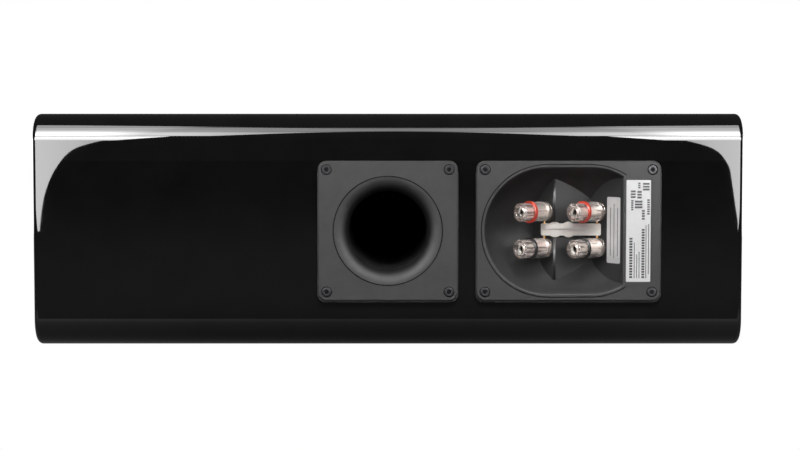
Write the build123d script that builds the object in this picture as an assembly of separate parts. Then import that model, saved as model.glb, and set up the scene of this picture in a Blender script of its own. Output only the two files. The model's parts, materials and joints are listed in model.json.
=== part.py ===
from build123d import *
import os
from math import cos, radians, sin, tan

# Center channel speaker. X runs along its width, the front faces -Y, the rear with the port
# and the terminal dish faces +Y, and the cabinet rests on Z = 0. All sizes are millimetres.

# Cabinet
WIDTH = 560.0
HEIGHT = 184.0
DEPTH = 285.0
WALL = 16.0
END_WALL = 18.0
BAFFLE = 22.0
REAR_RADIUS = 21.0
FRONT_RADIUS = 9.0
END_RADIUS = 5.0
BRACE_X = 62.0
BRACE_THICKNESS = 12.0
BRACE_RIM = 26.0
WADDING_THICKNESS = 12.0
WADDING_MARGIN = 14.0

# Rear plates, their gaskets and screws
PLATE_HEIGHT = 110.0
PLATE_THICKNESS = 3.0
PLATE_CORNER = 6.5
PLATE_EDGE = 0.7
SKIRT_SIDE = 0.5
SKIRT_DROP = 1.4
SKIRT_TOP_GAP = 4.0
SKIRT_THICKNESS = 1.0
GASKET_THICKNESS = 1.0
SCREW_INSET = 6.8
SCREW_HEAD_RADIUS = 3.6
SCREW_HEAD_HEIGHT = 1.8
SCREW_HEAD_EDGE = 0.4
SCREW_RECESS_RADIUS = 4.3
SCREW_SHANK_RADIUS = 1.8
SCREW_LENGTH = 14.0
SOCKET_FLATS = 3.4
SOCKET_DEPTH = 1.3
HOLE_CLEARANCE = 0.3
FIT = 0.05

# Reflex port
PORT_WIDTH = 110.0
BORE_RADIUS = 31.0
FLARE_RADIUS = 11.6
FLARE_LAND = 3.5
PORT_WALL = 2.5
SOCKET_LENGTH = 20.0
TUBE_LENGTH = 130.0
TUBE_END_FLARE = 5.0
GROOVE_WIDTH = 0.8
GROOVE_DEPTH = 0.5

# Terminal dish: a round-ended bowl with a saw-tooth floor. U runs towards -X from the
# plate's centre, and depth runs inwards from the plate's face.
TERMINAL_X = -142.2
TERMINAL_WIDTH = 145.0
BOWL_RADIUS = 53.0
BOWL_AXIS_OUT = 18.0
BOWL_LEFT_U = -16.5
BOWL_RIGHT_U = 17.0
DISH_END_U = 42.5
DISH_WALL = 3.0
TILT = 50.0
RIDGE_U = -10.9
RIDGE_DEPTH = 16.5
RIDGE_CREST = 2.2
FLOOR_FALL = 24.3
RIM_ROUND = 1.3
RIM_WIDTH = 2.0
LABEL_WIDTH = 20.4
LABEL_HEIGHT = 81.4
LABEL_RECESS = 0.4
LABEL_GAP = 2.6

# Binding posts, along their own axis from the slanted floor
POST_U = -14.95
POST_PITCH = 42.0
POST_ROW = 29.0
STUD_RADIUS = 3.0
STUD_TAIL_RADIUS = 2.4
STUD_TIP = 27.3
BANANA_RADIUS = 2.0
BANANA_DEPTH = 19.0
WIRE_HEIGHT = 3.5
WIRE_RADIUS = 0.9
WIRE_HOLE_RADIUS = 1.15
BASE_FOOT_RADIUS = 4.6
BASE_RADIUS = 7.6
BASE_BAND = 0.9
WASHER_RADIUS = 6.8
WASHER_THICKNESS = 1.0
KNOB_GAP = 0.15
COLLAR_RADIUS = 8.0
COLLAR_END = 18.6
RING_RADIUS = 8.6
RING_WIDTH = 2.6
NECK_RADIUS = 7.0
CROWN_RADIUS = 7.3
CROWN_END = 31.2
CROWN_CHAMFER = 0.8
FLUTE_COUNT = 7
FLUTE_RADIUS = 1.5
CORE_RADIUS = 5.0
MOUTH_RADIUS = 4.0
LIP_THICKNESS = 3.0
INSULATOR_RADIUS = 4.7
INSULATOR_THICKNESS = 2.5
NUT_FLATS = 8.0
NUT_HEIGHT = 4.0
TAIL_SPARE = 3.0

# Jumper between the two post pairs
HOLDER_THICKNESS = 3.6
HOLDER_HEIGHT = 9.4
HOLDER_MARGIN = 2.8
HOLDER_CORNER = 1.2
BULGE_RADIUS = 6.1
BULGE_U = (-9.3, 1.5)
JUMPER_SPACING = 3.8
JUMPER_BEND = 2.0
JUMPER_OVERHANG = 6.0
NOTCH_CLEARANCE = 0.4
NOTCH_LEFT = 11.6
NOTCH_RIGHT = 16.2

# Woofers, with depths counted from the baffle's face
WOOFER_TO_END = 102.0
FLANGE_RADIUS = 77.0
FLANGE_INNER = 64.5
FLANGE_THICKNESS = 4.0
CUTOUT_RADIUS = 68.0
BARREL_WALL = 2.0
BARREL_DEPTH = 16.0
BASKET_DEPTH = 50.0
BASKET_SEAT_RADIUS = 44.0
SPIDER_DEPTH = 35.0
SPIDER_THICKNESS = 0.8
SPIDER_LEDGE = 4.0
LEDGE_FOOT = 1.0
WINDOW_COUNT = 6
WINDOW_WIDTH = 34.0
ROLL_OUTER = 60.4
ROLL_INNER = 49.6
ROLL_HEIGHT = 4.4
RUBBER = 1.2
LIP_DEPTH = 2.8
LIP_WIDTH = 3.4
CONE_THICKNESS = 1.2
CONE_WALL = 1.7
CONE_DEPTH = 25.0
COIL_RADIUS = 17.0
FORMER_THICKNESS = 0.6
WINDING_THICKNESS = 0.6
WINDING_LENGTH = 14.0
COIL_GAP = 0.6
SEAT_GAP = 2.4
DUST_CAP_RADIUS = 20.0
DUST_CAP_HEIGHT = 6.0
DUST_CAP_SHOULDER = 4.7
TOP_PLATE = 6.0
MAGNET_RADIUS = 45.0
MAGNET_BORE = 24.0
MAGNET_THICKNESS = 16.0
YOKE_THICKNESS = 6.0
WOOFER_SCREWS = 6
WOOFER_SCREW_RADIUS = 72.5

# Folded-ribbon tweeter
FACEPLATE_RADIUS = 50.0
FACEPLATE_THICKNESS = 4.0
SLOT_WIDTH = 30.0
SLOT_HEIGHT = 4.6
SLOT_CORNER = 2.1
SLOT_PITCH = 7.0
SLOT_COUNT = 6
MOTOR_RADIUS = 38.0
MOTOR_DEPTH = 36.0
PLEAT_COUNT = 10
PLEAT_DEPTH = 4.0
PLEAT_THICKNESS = 0.5
TWEETER_SCREWS = 4
TWEETER_SCREW_RADIUS = 44.5

# Crossover
BOARD = (120.0, 90.0, 2.0)
BOARD_TO_WADDING = 25.0
BOARD_Y = 15.0
COIL_OUTER = 20.0
COIL_INNER = 9.0
COIL_HEIGHT = 18.0
CAPACITOR_RADIUS = 8.0
CAPACITOR_LENGTH = 34.0
RESISTOR = (36.0, 9.0, 9.0)

# Derived places
Y_FRONT = -DEPTH / 2
Y_REAR = DEPTH / 2
Z_MID = HEIGHT / 2
Y_INSIDE = Y_FRONT + BAFFLE
Y_SEAT = Y_REAR + GASKET_THICKNESS
Y_FACE = Y_SEAT + PLATE_THICKNESS
TILT_TAN = tan(radians(TILT))
FALL_TAN = tan(radians(FLOOR_FALL))
POST_DEPTH = RIDGE_DEPTH + TILT_TAN * (RIDGE_U - POST_U)
POST_AXIS = (sin(radians(TILT)), cos(radians(TILT)), 0)
POSTS = {
    "hf_plus": (POST_U, POST_ROW / 2),
    "hf_minus": (POST_U, -POST_ROW / 2),
    "lf_plus": (POST_U + POST_PITCH, POST_ROW / 2),
    "lf_minus": (POST_U + POST_PITCH, -POST_ROW / 2),
}
WIRE_U = POST_U - WIRE_HEIGHT * sin(radians(TILT))
WIRE_DEPTH = POST_DEPTH - WIRE_HEIGHT * cos(radians(TILT))
BASE_HEIGHT = WIRE_HEIGHT - WIRE_RADIUS - FIT
WASHER_START = WIRE_HEIGHT + WIRE_RADIUS + FIT
KNOB_START = WASHER_START + WASHER_THICKNESS + KNOB_GAP
RING_END = COLLAR_END + RING_WIDTH
WOOFER_X = WIDTH / 2 - WOOFER_TO_END
SIDES = {"left": WOOFER_X, "right": -WOOFER_X}
BOARD_X = WIDTH / 2 - END_WALL - WADDING_THICKNESS - BOARD_TO_WADDING - BOARD[0] / 2


def rear_plane(x, y, z=Z_MID):
    """Sketch plane facing the rear."""
    return Plane(origin=(x, y, z), x_dir=(1, 0, 0), z_dir=(0, 1, 0))


def slab(width, height, corner, x, start, thickness):
    """Round-cornered slab lying against the rear face."""
    return extrude(rear_plane(x, start) * RectangleRounded(width, height, corner), thickness)


def drum(radius, x, z, start, length):
    """Cylinder along Y."""
    return extrude(rear_plane(x, start, z) * Circle(radius), length)


def turned(profile, x, z=Z_MID):
    """Solid turned about a line along Y, from a face of radius and Y."""
    return revolve(Pos(x, 0, z) * profile, Axis((x, 0, z), (0, 1, 0)))


def outline(*points):
    return make_face(Polyline(*points, close=True))


def tube_about_z(inner, outer, start, end):
    ring = Circle(outer) - Circle(inner)
    return extrude(Plane.XY.offset(start) * ring, end - start)


def screw():
    """Socket screw along Z with the top of its head at zero."""
    head = extrude(Circle(SCREW_HEAD_RADIUS), -SCREW_HEAD_HEIGHT)
    shank = extrude(Circle(SCREW_SHANK_RADIUS), -SCREW_LENGTH)
    socket = extrude(RegularPolygon(SOCKET_FLATS / 2, 6, major_radius=False), -SOCKET_DEPTH)
    return chamfer(head.edges().group_by(Axis.Z)[-1], SCREW_HEAD_EDGE) + shank - socket


def dish_box(u_low, u_high, half_height, depth_low, depth_high):
    """Box in the dish's own directions."""
    u_mid = (u_low + u_high) / 2
    depth_mid = (depth_low + depth_high) / 2
    place = Pos(TERMINAL_X - u_mid, Y_FACE - depth_mid, Z_MID)
    return place * Box(u_high - u_low, depth_high - depth_low, 2 * half_height)


# Cabinet


def cabinet_body():
    body = Pos(0, 0, Z_MID) * Box(WIDTH, DEPTH, HEIGHT)
    long_edges = body.edges().filter_by(Axis.X).group_by(Axis.Y)
    body = fillet(long_edges[-1], REAR_RADIUS)
    body = fillet(body.edges().filter_by(Axis.X).group_by(Axis.Y)[0], FRONT_RADIUS)
    ends = body.faces().filter_by(Axis.X).sort_by(Axis.X)
    return fillet(ends[0].edges() + ends[-1].edges(), END_RADIUS)


def cavity():
    length = Y_REAR - WALL - Y_INSIDE
    hollow = Box(WIDTH - 2 * END_WALL, length, HEIGHT - 2 * WALL)
    hollow = Pos(0, Y_INSIDE + length / 2, Z_MID) * hollow
    rear_edges = hollow.edges().filter_by(Axis.X).group_by(Axis.Y)[-1]
    return fillet(rear_edges, REAR_RADIUS - WALL)


def plate_corners(x, width):
    """Screw centres of a rear plate."""
    half_x = width / 2 - SCREW_INSET
    half_z = PLATE_HEIGHT / 2 - SCREW_INSET
    return [(x + i * half_x, Z_MID + j * half_z) for i in (-1, 1) for j in (-1, 1)]


def plate_screw_places():
    return plate_corners(0, PORT_WIDTH) + plate_corners(TERMINAL_X, TERMINAL_WIDTH)


def cabinet_shell():
    front = Pos(0, Y_FRONT, Z_MID) * Box(2 * WIDTH, 2 * BAFFLE, 2 * HEIGHT)
    shell = cabinet_body() - front - cavity()
    through = 2 * WALL
    shell -= drum(port_outer_radius() + HOLE_CLEARANCE, 0, Z_MID, Y_REAR - through, 2 * through)
    shell -= extrude(rear_plane(0, Y_REAR - through) * dish_hole(HOLE_CLEARANCE), 2 * through)
    for x, z in plate_screw_places():
        shell -= drum(SCREW_SHANK_RADIUS + FIT, x, z, Y_SEAT - SCREW_LENGTH, SCREW_LENGTH)
    return shell


def front_baffle():
    front = Pos(0, Y_FRONT, Z_MID) * Box(2 * WIDTH, 2 * BAFFLE, 2 * HEIGHT)
    board = cabinet_body() & front
    for x in SIDES.values():
        board -= drum(FLANGE_RADIUS + HOLE_CLEARANCE, x, Z_MID, Y_FRONT, FLANGE_THICKNESS)
        board -= drum(CUTOUT_RADIUS, x, Z_MID, Y_FRONT, BAFFLE)
    board -= drum(FACEPLATE_RADIUS + HOLE_CLEARANCE, 0, Z_MID, Y_FRONT, FACEPLATE_THICKNESS)
    board -= drum(MOTOR_RADIUS + HOLE_CLEARANCE, 0, Z_MID, Y_FRONT, BAFFLE)
    for place in driver_screw_places():
        board -= place * Cylinder(SCREW_SHANK_RADIUS + FIT, 2 * SCREW_LENGTH)
    return board


def brace(side):
    board = Pos(side * BRACE_X, 0, Z_MID) * Box(BRACE_THICKNESS, DEPTH, HEIGHT)
    board = cavity() & board
    inner = board.bounding_box().size
    window = RectangleRounded(inner.Y - 2 * BRACE_RIM, inner.Z - 2 * BRACE_RIM, BRACE_RIM / 2)
    middle = board.bounding_box().center()
    cut = extrude(Plane(middle, x_dir=(0, 1, 0), z_dir=(1, 0, 0)) * window, WIDTH, both=True)
    return board - cut


def damping_wadding():
    length = Y_REAR - WALL - Y_INSIDE - 2 * WADDING_MARGIN
    height = HEIGHT - 2 * WALL - 2 * WADDING_MARGIN
    reach = WIDTH / 2 - END_WALL - WADDING_THICKNESS / 2
    middle = (Y_INSIDE + Y_REAR - WALL) / 2
    pad = Box(WADDING_THICKNESS, length, height)
    return [Pos(i * reach, middle, Z_MID) * pad for i in (-1, 1)]


# Rear plates


def rear_plate(x, width):
    """Flat moulded plate with a thin skirt below it, softened edges and four screw recesses."""
    plate = slab(width, PLATE_HEIGHT, PLATE_CORNER, x, Y_SEAT, PLATE_THICKNESS)
    plate = chamfer(plate.faces().sort_by(Axis.Y)[-1].edges(), PLATE_EDGE)
    skirt_size = (width + 2 * SKIRT_SIDE, PLATE_HEIGHT - SKIRT_TOP_GAP + SKIRT_DROP)
    skirt = slab(*skirt_size, PLATE_CORNER, x, Y_SEAT, SKIRT_THICKNESS)
    plate += Pos(0, 0, -(SKIRT_TOP_GAP + SKIRT_DROP) / 2) * skirt
    for screw_x, z in plate_corners(x, width):
        recess = SCREW_HEAD_HEIGHT + FIT
        plate -= drum(SCREW_RECESS_RADIUS, screw_x, z, Y_FACE - recess, recess)
        plate -= drum(SCREW_SHANK_RADIUS + HOLE_CLEARANCE, screw_x, z, Y_SEAT, PLATE_THICKNESS)
    return plate


def plate_gasket(x, width, opening):
    gasket = slab(width, PLATE_HEIGHT, PLATE_CORNER, x, Y_REAR, GASKET_THICKNESS)
    gasket -= extrude(rear_plane(0, Y_REAR) * opening, GASKET_THICKNESS)
    for screw_x, z in plate_corners(x, width):
        gasket -= drum(SCREW_SHANK_RADIUS + HOLE_CLEARANCE, screw_x, z, Y_REAR, GASKET_THICKNESS)
    return gasket


def plate_screws(x, width):
    places = [rear_plane(screw_x, Y_FACE, z).location for screw_x, z in plate_corners(x, width)]
    return [place * screw() for place in places]


# Reflex port


def port_outer_radius():
    return BORE_RADIUS + FLARE_RADIUS + PORT_WALL


def port_plate():
    mouth = BORE_RADIUS + FLARE_RADIUS
    outer = port_outer_radius()
    throat = Y_FACE - FLARE_RADIUS
    seat = throat - FLARE_LAND
    end = seat - SOCKET_LENGTH
    socket = BORE_RADIUS + PORT_WALL + FIT
    roll = CenterArc((mouth, throat), FLARE_RADIUS, 90, 90)
    flare = make_face(
        [
            roll,
            Polyline(
                (BORE_RADIUS, throat),
                (BORE_RADIUS, seat),
                (socket, seat),
                (socket, end),
                (socket + PORT_WALL, end),
                (socket + PORT_WALL, throat),
                (outer, Y_SEAT),
                (outer, Y_FACE),
                (mouth, Y_FACE),
            ),
        ]
    )
    plate = rear_plate(0, PORT_WIDTH)
    plate -= drum(outer - PORT_WALL / 2, 0, Z_MID, Y_SEAT, PLATE_THICKNESS)
    plate += turned(flare, 0)
    groove = Circle(mouth + GROOVE_WIDTH) - Circle(mouth)
    return plate - extrude(rear_plane(0, Y_FACE) * groove, -GROOVE_DEPTH)


def port_tube():
    start = Y_FACE - FLARE_RADIUS - FLARE_LAND - FIT
    bend = start - TUBE_LENGTH
    end = bend - TUBE_END_FLARE
    inner = BORE_RADIUS
    outer = BORE_RADIUS + PORT_WALL
    profile = outline(
        (inner, start),
        (outer, start),
        (outer, bend),
        (outer + TUBE_END_FLARE, end),
        (inner + TUBE_END_FLARE, end),
        (inner, bend),
    )
    return turned(profile, 0)


# Terminal dish


def capsule(radius):
    """Round-ended bar whose lower part forms the bowl."""
    length = BOWL_RIGHT_U - BOWL_LEFT_U
    middle = (BOWL_RIGHT_U + BOWL_LEFT_U) / 2
    bar = Rot(0, 90, 0) * Cylinder(radius, length)
    bar += [Pos(i * length / 2, 0, 0) * Sphere(radius) for i in (-1, 1)]
    return Pos(TERMINAL_X - middle, Y_FACE + BOWL_AXIS_OUT, Z_MID) * bar


def floor_prism(offset, top):
    """Space above the saw-tooth floor, lowered by offset square to each face."""
    deep = 2 * BOWL_RADIUS
    slope = offset / cos(radians(TILT))
    fall = offset / cos(radians(FLOOR_FALL))
    crest = RIDGE_DEPTH + offset
    crest_left = RIDGE_U - (offset - slope) / TILT_TAN
    crest_right = RIDGE_U + RIDGE_CREST + (offset - fall) / FALL_TAN
    second = RIDGE_U + POST_PITCH + (slope - fall) / TILT_TAN
    rise = FALL_TAN * (RIDGE_U + RIDGE_CREST) + TILT_TAN * second
    valley = rise / (FALL_TAN + TILT_TAN)
    valley_depth = RIDGE_DEPTH + fall + FALL_TAN * (valley - RIDGE_U - RIDGE_CREST)
    end_u = DISH_END_U + offset
    end_depth = RIDGE_DEPTH + slope + TILT_TAN * (RIDGE_U + POST_PITCH - end_u)
    deep_u = crest_left - (deep - crest) / TILT_TAN
    points = [
        (-2 * BOWL_RADIUS, top),
        (-2 * BOWL_RADIUS, deep),
        (deep_u, deep),
        (crest_left, crest),
        (crest_right, crest),
        (valley, valley_depth),
        (end_u, end_depth),
        (end_u, top),
    ]
    face = outline(*[(TERMINAL_X - u, Y_FACE - depth) for u, depth in points])
    return Pos(0, 0, Z_MID) * extrude(face, PLATE_HEIGHT, both=True)


def rim_outline(radius, end):
    """Round-ended outline of the dish cut off straight at one end, across X and Z."""
    length = BOWL_RIGHT_U - BOWL_LEFT_U
    middle = TERMINAL_X - (BOWL_LEFT_U + BOWL_RIGHT_U) / 2
    sketch = Rectangle(length, 2 * radius)
    sketch += [Pos(i * length / 2, 0) * Circle(radius) for i in (-1, 1)]
    sketch = Pos(middle, 0) * sketch
    return sketch - Pos(TERMINAL_X - end - WIDTH / 2, 0) * Rectangle(WIDTH, PLATE_HEIGHT)


def dish_hole(clearance):
    """Opening of the rear wall around the bowl."""
    outer = BOWL_RADIUS + DISH_WALL
    sink = BOWL_AXIS_OUT + PLATE_THICKNESS
    radius = (outer**2 - sink**2) ** 0.5 + clearance
    return rim_outline(radius, DISH_END_U + DISH_WALL + clearance)


def rim_groove():
    """Fine groove that sets off the dish's rounded rim, up to the label."""
    inner = (BOWL_RADIUS**2 - BOWL_AXIS_OUT**2) ** 0.5 + RIM_WIDTH
    end = DISH_END_U + LABEL_GAP
    ring = rim_outline(inner + GROOVE_WIDTH, end) - rim_outline(inner, end + RIM_WIDTH)
    return extrude(rear_plane(0, Y_FACE) * ring, -GROOVE_DEPTH)


def post_place(name):
    u, row = POSTS[name]
    foot = (TERMINAL_X - u, Y_FACE - POST_DEPTH, Z_MID + row)
    return Plane(origin=foot, x_dir=(0, 0, 1), z_dir=POST_AXIS).location


def notch(grow):
    """Channel through the ridge for the jumper, grown by a wall for its back."""
    half = BULGE_RADIUS + NOTCH_CLEARANCE + grow
    floor = WIRE_DEPTH + HOLDER_THICKNESS / 2 + NOTCH_CLEARANCE + grow
    left = RIDGE_U - NOTCH_LEFT - grow
    right = RIDGE_U + NOTCH_RIGHT + grow
    return dish_box(left, right, half, 0, floor)


def terminal_plate():
    plate = rear_plate(TERMINAL_X, TERMINAL_WIDTH)
    shell = capsule(BOWL_RADIUS + DISH_WALL) & floor_prism(DISH_WALL, PLATE_THICKNESS / 2)
    plate += shell
    plate += notch(DISH_WALL)
    plate -= capsule(BOWL_RADIUS) & floor_prism(0, -BOWL_RADIUS)
    face = plate.faces().sort_by(Axis.Y)[-1]
    rim = face.inner_wires().sort_by(SortBy.LENGTH)[-1]
    plate = fillet(rim.edges(), RIM_ROUND)
    plate -= notch(0) + rim_groove()
    for name in POSTS:
        plate -= post_place(name) * Cylinder(STUD_TAIL_RADIUS + FIT, POST_DEPTH)
    label_u = DISH_END_U + LABEL_GAP + LABEL_WIDTH / 2
    half_width = LABEL_WIDTH / 2
    span = (label_u - half_width, label_u + half_width)
    return plate - dish_box(*span, LABEL_HEIGHT / 2, -LABEL_RECESS, LABEL_RECESS)


# Binding posts


def post_stud():
    tail = DISH_WALL + INSULATOR_THICKNESS + NUT_HEIGHT + TAIL_SPARE
    stud = extrude(Circle(STUD_RADIUS), STUD_TIP)
    stud += extrude(Circle(STUD_TAIL_RADIUS), -tail)
    stud -= Pos(0, 0, STUD_TIP) * extrude(Circle(BANANA_RADIUS), -BANANA_DEPTH)
    cross = Rot(0, 90, 0) * Cylinder(WIRE_HOLE_RADIUS, 4 * STUD_RADIUS)
    return stud - Pos(0, 0, WIRE_HEIGHT) * cross


def post_base():
    profile = outline(
        (STUD_RADIUS + FIT, 0),
        (BASE_FOOT_RADIUS, 0),
        (BASE_RADIUS, BASE_HEIGHT - BASE_BAND),
        (BASE_RADIUS, BASE_HEIGHT),
        (STUD_RADIUS + FIT, BASE_HEIGHT),
    )
    return revolve(Plane.XZ * profile, Axis.Z)


def rear_insulator():
    start = -DISH_WALL - INSULATOR_THICKNESS
    return tube_about_z(STUD_TAIL_RADIUS + FIT, INSULATOR_RADIUS, start, -DISH_WALL)


def post_nut():
    nut = RegularPolygon(NUT_FLATS / 2, 6, major_radius=False) - Circle(STUD_TAIL_RADIUS + FIT)
    return extrude(Plane.XY.offset(-DISH_WALL - INSULATOR_THICKNESS) * nut, -NUT_HEIGHT)


def clamp_washer():
    end = WASHER_START + WASHER_THICKNESS
    return tube_about_z(STUD_RADIUS + 2 * FIT, WASHER_RADIUS, WASHER_START, end)


def knob_shell():
    """Clear grip: a smooth collar, a neck for the ring and a fluted crown."""
    lip = CROWN_END - LIP_THICKNESS
    grip = tube_about_z(CORE_RADIUS + FIT, COLLAR_RADIUS, KNOB_START, COLLAR_END)
    grip += tube_about_z(CORE_RADIUS + FIT, NECK_RADIUS, COLLAR_END, RING_END)
    crown = Pos(0, 0, RING_END) * extrude(Circle(CROWN_RADIUS), CROWN_END - RING_END)
    crown = chamfer(crown.edges().group_by(Axis.Z)[-1], CROWN_CHAMFER)
    flutes = PolarLocations(CROWN_RADIUS + FLUTE_RADIUS / 3, FLUTE_COUNT)
    for spot in flutes:
        crown -= Pos(0, 0, RING_END) * spot * extrude(Circle(FLUTE_RADIUS), CROWN_END)
    crown -= Pos(0, 0, RING_END) * extrude(Circle(CORE_RADIUS + FIT), lip - RING_END)
    return grip + crown - extrude(Circle(MOUTH_RADIUS), CROWN_END)


def knob_ring():
    return tube_about_z(NECK_RADIUS + FIT, RING_RADIUS, COLLAR_END + FIT, RING_END - FIT)


def knob_core():
    end = CROWN_END - LIP_THICKNESS - FIT
    return tube_about_z(STUD_RADIUS + 2 * FIT, CORE_RADIUS, KNOB_START, end)


# Jumper


def jumper_point(along, row):
    """Point on the jumper's own plane, from the first post's wire."""
    return Vector(TERMINAL_X - WIRE_U - along, Y_FACE - WIRE_DEPTH, Z_MID + row)


def jumper_wire(side, radius):
    """Wire bent to a U: a bar with a leg through each stud."""
    bar = side * JUMPER_SPACING / 2
    tip = side * (POST_ROW / 2 + JUMPER_OVERHANG)
    corners = [(0, tip), (0, bar), (POST_PITCH, bar), (POST_PITCH, tip)]
    path = FilletPolyline(*[jumper_point(a, r) for a, r in corners], radius=JUMPER_BEND)
    start = Plane(origin=path @ 0, z_dir=path % 0)
    return sweep(start * Circle(radius), path=path)


def jumper_holder():
    length = POST_PITCH + 2 * HOLDER_MARGIN
    centre = jumper_point(POST_PITCH / 2, 0)
    body = RectangleRounded(length, HOLDER_HEIGHT, HOLDER_CORNER)
    for u in BULGE_U:
        body += Pos(WIRE_U + POST_PITCH / 2 - u, 0) * Circle(BULGE_RADIUS)
    plane = rear_plane(centre.X, centre.Y - HOLDER_THICKNESS / 2, centre.Z)
    holder = extrude(plane * body, HOLDER_THICKNESS)
    for side in (-1, 1):
        holder -= jumper_wire(side, WIRE_RADIUS + FIT)
    return holder


# Drivers


def depth(value):
    """Y of a depth behind the baffle's face."""
    return Y_FRONT + value


def driver_screw_places():
    """Screw axes of the three drivers, pointing out of the front."""
    rings = [(x, WOOFER_SCREW_RADIUS, WOOFER_SCREWS) for x in SIDES.values()]
    rings.append((0, TWEETER_SCREW_RADIUS, TWEETER_SCREWS))
    places = []
    for x, radius, count in rings:
        face = Plane(origin=(x, Y_FRONT, Z_MID), x_dir=(1, 0, 0), z_dir=(0, -1, 0))
        start = 180 / count
        places += [face.location * spot for spot in PolarLocations(radius, count, start)]
    return places


def driver_screws(first, last):
    return [place * screw() for place in driver_screw_places()[first:last]]


def screw_cuts(piece):
    for place in driver_screw_places():
        head = SCREW_HEAD_HEIGHT + FIT
        piece -= place * Cylinder(SCREW_SHANK_RADIUS + HOLE_CLEARANCE, 2 * SCREW_LENGTH)
        piece -= place * Cylinder(SCREW_RECESS_RADIUS, 2 * head)
    return piece


def cone_radius_at(value):
    """Inner radius of the basket's tapering part at a depth."""
    share = (value - BARREL_DEPTH) / (BASKET_DEPTH - BARREL_DEPTH)
    return FLANGE_INNER + share * (BASKET_SEAT_RADIUS - BARREL_WALL - FLANGE_INNER)


def woofer_basket(x):
    barrel = FLANGE_INNER + BARREL_WALL
    seat_bore = COIL_RADIUS + SEAT_GAP
    lip_seat = LIP_DEPTH + RUBBER
    ledge = cone_radius_at(SPIDER_DEPTH)
    profile = outline(
        (FLANGE_RADIUS, depth(0)),
        (FLANGE_RADIUS, depth(FLANGE_THICKNESS)),
        (barrel, depth(FLANGE_THICKNESS)),
        (barrel, depth(BARREL_DEPTH)),
        (BASKET_SEAT_RADIUS, depth(BASKET_DEPTH)),
        (seat_bore, depth(BASKET_DEPTH)),
        (seat_bore, depth(BASKET_DEPTH - BARREL_WALL)),
        (BASKET_SEAT_RADIUS - BARREL_WALL, depth(BASKET_DEPTH - BARREL_WALL)),
        (ledge - LEDGE_FOOT, depth(SPIDER_DEPTH + 2 * BARREL_WALL)),
        (ledge - SPIDER_LEDGE, depth(SPIDER_DEPTH + BARREL_WALL)),
        (ledge - SPIDER_LEDGE, depth(SPIDER_DEPTH)),
        (ledge, depth(SPIDER_DEPTH)),
        (FLANGE_INNER, depth(BARREL_DEPTH)),
        (FLANGE_INNER, depth(lip_seat + BARREL_WALL)),
        (ROLL_OUTER, depth(lip_seat + BARREL_WALL)),
        (ROLL_OUTER, depth(lip_seat + FIT)),
        (FLANGE_INNER, depth(lip_seat + FIT)),
        (FLANGE_INNER, depth(0)),
    )
    basket = turned(profile, x)
    low = BARREL_DEPTH + BARREL_WALL
    high = SPIDER_DEPTH - BARREL_WALL
    face = Plane(origin=(x, depth((low + high) / 2), Z_MID), x_dir=(1, 0, 0), z_dir=(0, -1, 0))
    for spot in PolarLocations(FLANGE_INNER, WINDOW_COUNT):
        basket -= face.location * spot * Box(FLANGE_INNER / 2, WINDOW_WIDTH, high - low)
    return screw_cuts(basket)


def woofer_surround(x):
    """Rubber half-roll with a flat lip on each side."""
    top = LIP_DEPTH - ROLL_HEIGHT
    crown = (ROLL_OUTER - ROLL_INNER) / 4
    outside = [
        (FLANGE_INNER - FIT, depth(LIP_DEPTH)),
        (ROLL_OUTER, depth(LIP_DEPTH)),
        (ROLL_OUTER - crown, depth(top)),
        (ROLL_INNER + crown, depth(top)),
        (ROLL_INNER, depth(LIP_DEPTH)),
        (ROLL_INNER - LIP_WIDTH, depth(LIP_DEPTH)),
    ]
    inside = [
        (ROLL_INNER - LIP_WIDTH, depth(LIP_DEPTH + RUBBER)),
        (ROLL_INNER + RUBBER, depth(LIP_DEPTH + RUBBER)),
        (ROLL_INNER + crown + RUBBER, depth(top + RUBBER)),
        (ROLL_OUTER - crown - RUBBER, depth(top + RUBBER)),
        (ROLL_OUTER - RUBBER, depth(LIP_DEPTH + RUBBER)),
        (FLANGE_INNER - FIT, depth(LIP_DEPTH + RUBBER)),
    ]
    return turned(outline(*outside, *inside), x)


def cone_rim():
    return LIP_DEPTH + RUBBER + FIT


def woofer_cone(x):
    rim = cone_rim()
    edge = ROLL_INNER - LIP_WIDTH
    neck = COIL_RADIUS + FIT
    profile = outline(
        (ROLL_INNER, depth(rim)),
        (edge, depth(rim)),
        (neck, depth(rim + CONE_DEPTH)),
        (neck, depth(rim + CONE_DEPTH + CONE_WALL)),
        (edge, depth(rim + CONE_WALL)),
        (ROLL_INNER, depth(rim + CONE_THICKNESS)),
    )
    return turned(profile, x)


def woofer_dust_cap(x):
    """Shallow dome glued to the cone's front."""
    edge = ROLL_INNER - LIP_WIDTH
    slope = CONE_DEPTH / (edge - COIL_RADIUS)
    foot = cone_rim() + slope * (edge - DUST_CAP_RADIUS) - 2 * FIT
    top = foot - DUST_CAP_HEIGHT
    shoulder = DUST_CAP_RADIUS / 2
    bend = foot - DUST_CAP_SHOULDER
    profile = outline(
        (DUST_CAP_RADIUS, depth(foot)),
        (shoulder, depth(bend)),
        (0, depth(top)),
        (0, depth(top + CONE_THICKNESS)),
        (shoulder, depth(bend + CONE_THICKNESS)),
        (DUST_CAP_RADIUS - 2 * CONE_THICKNESS, depth(foot)),
    )
    return turned(profile, x)


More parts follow.
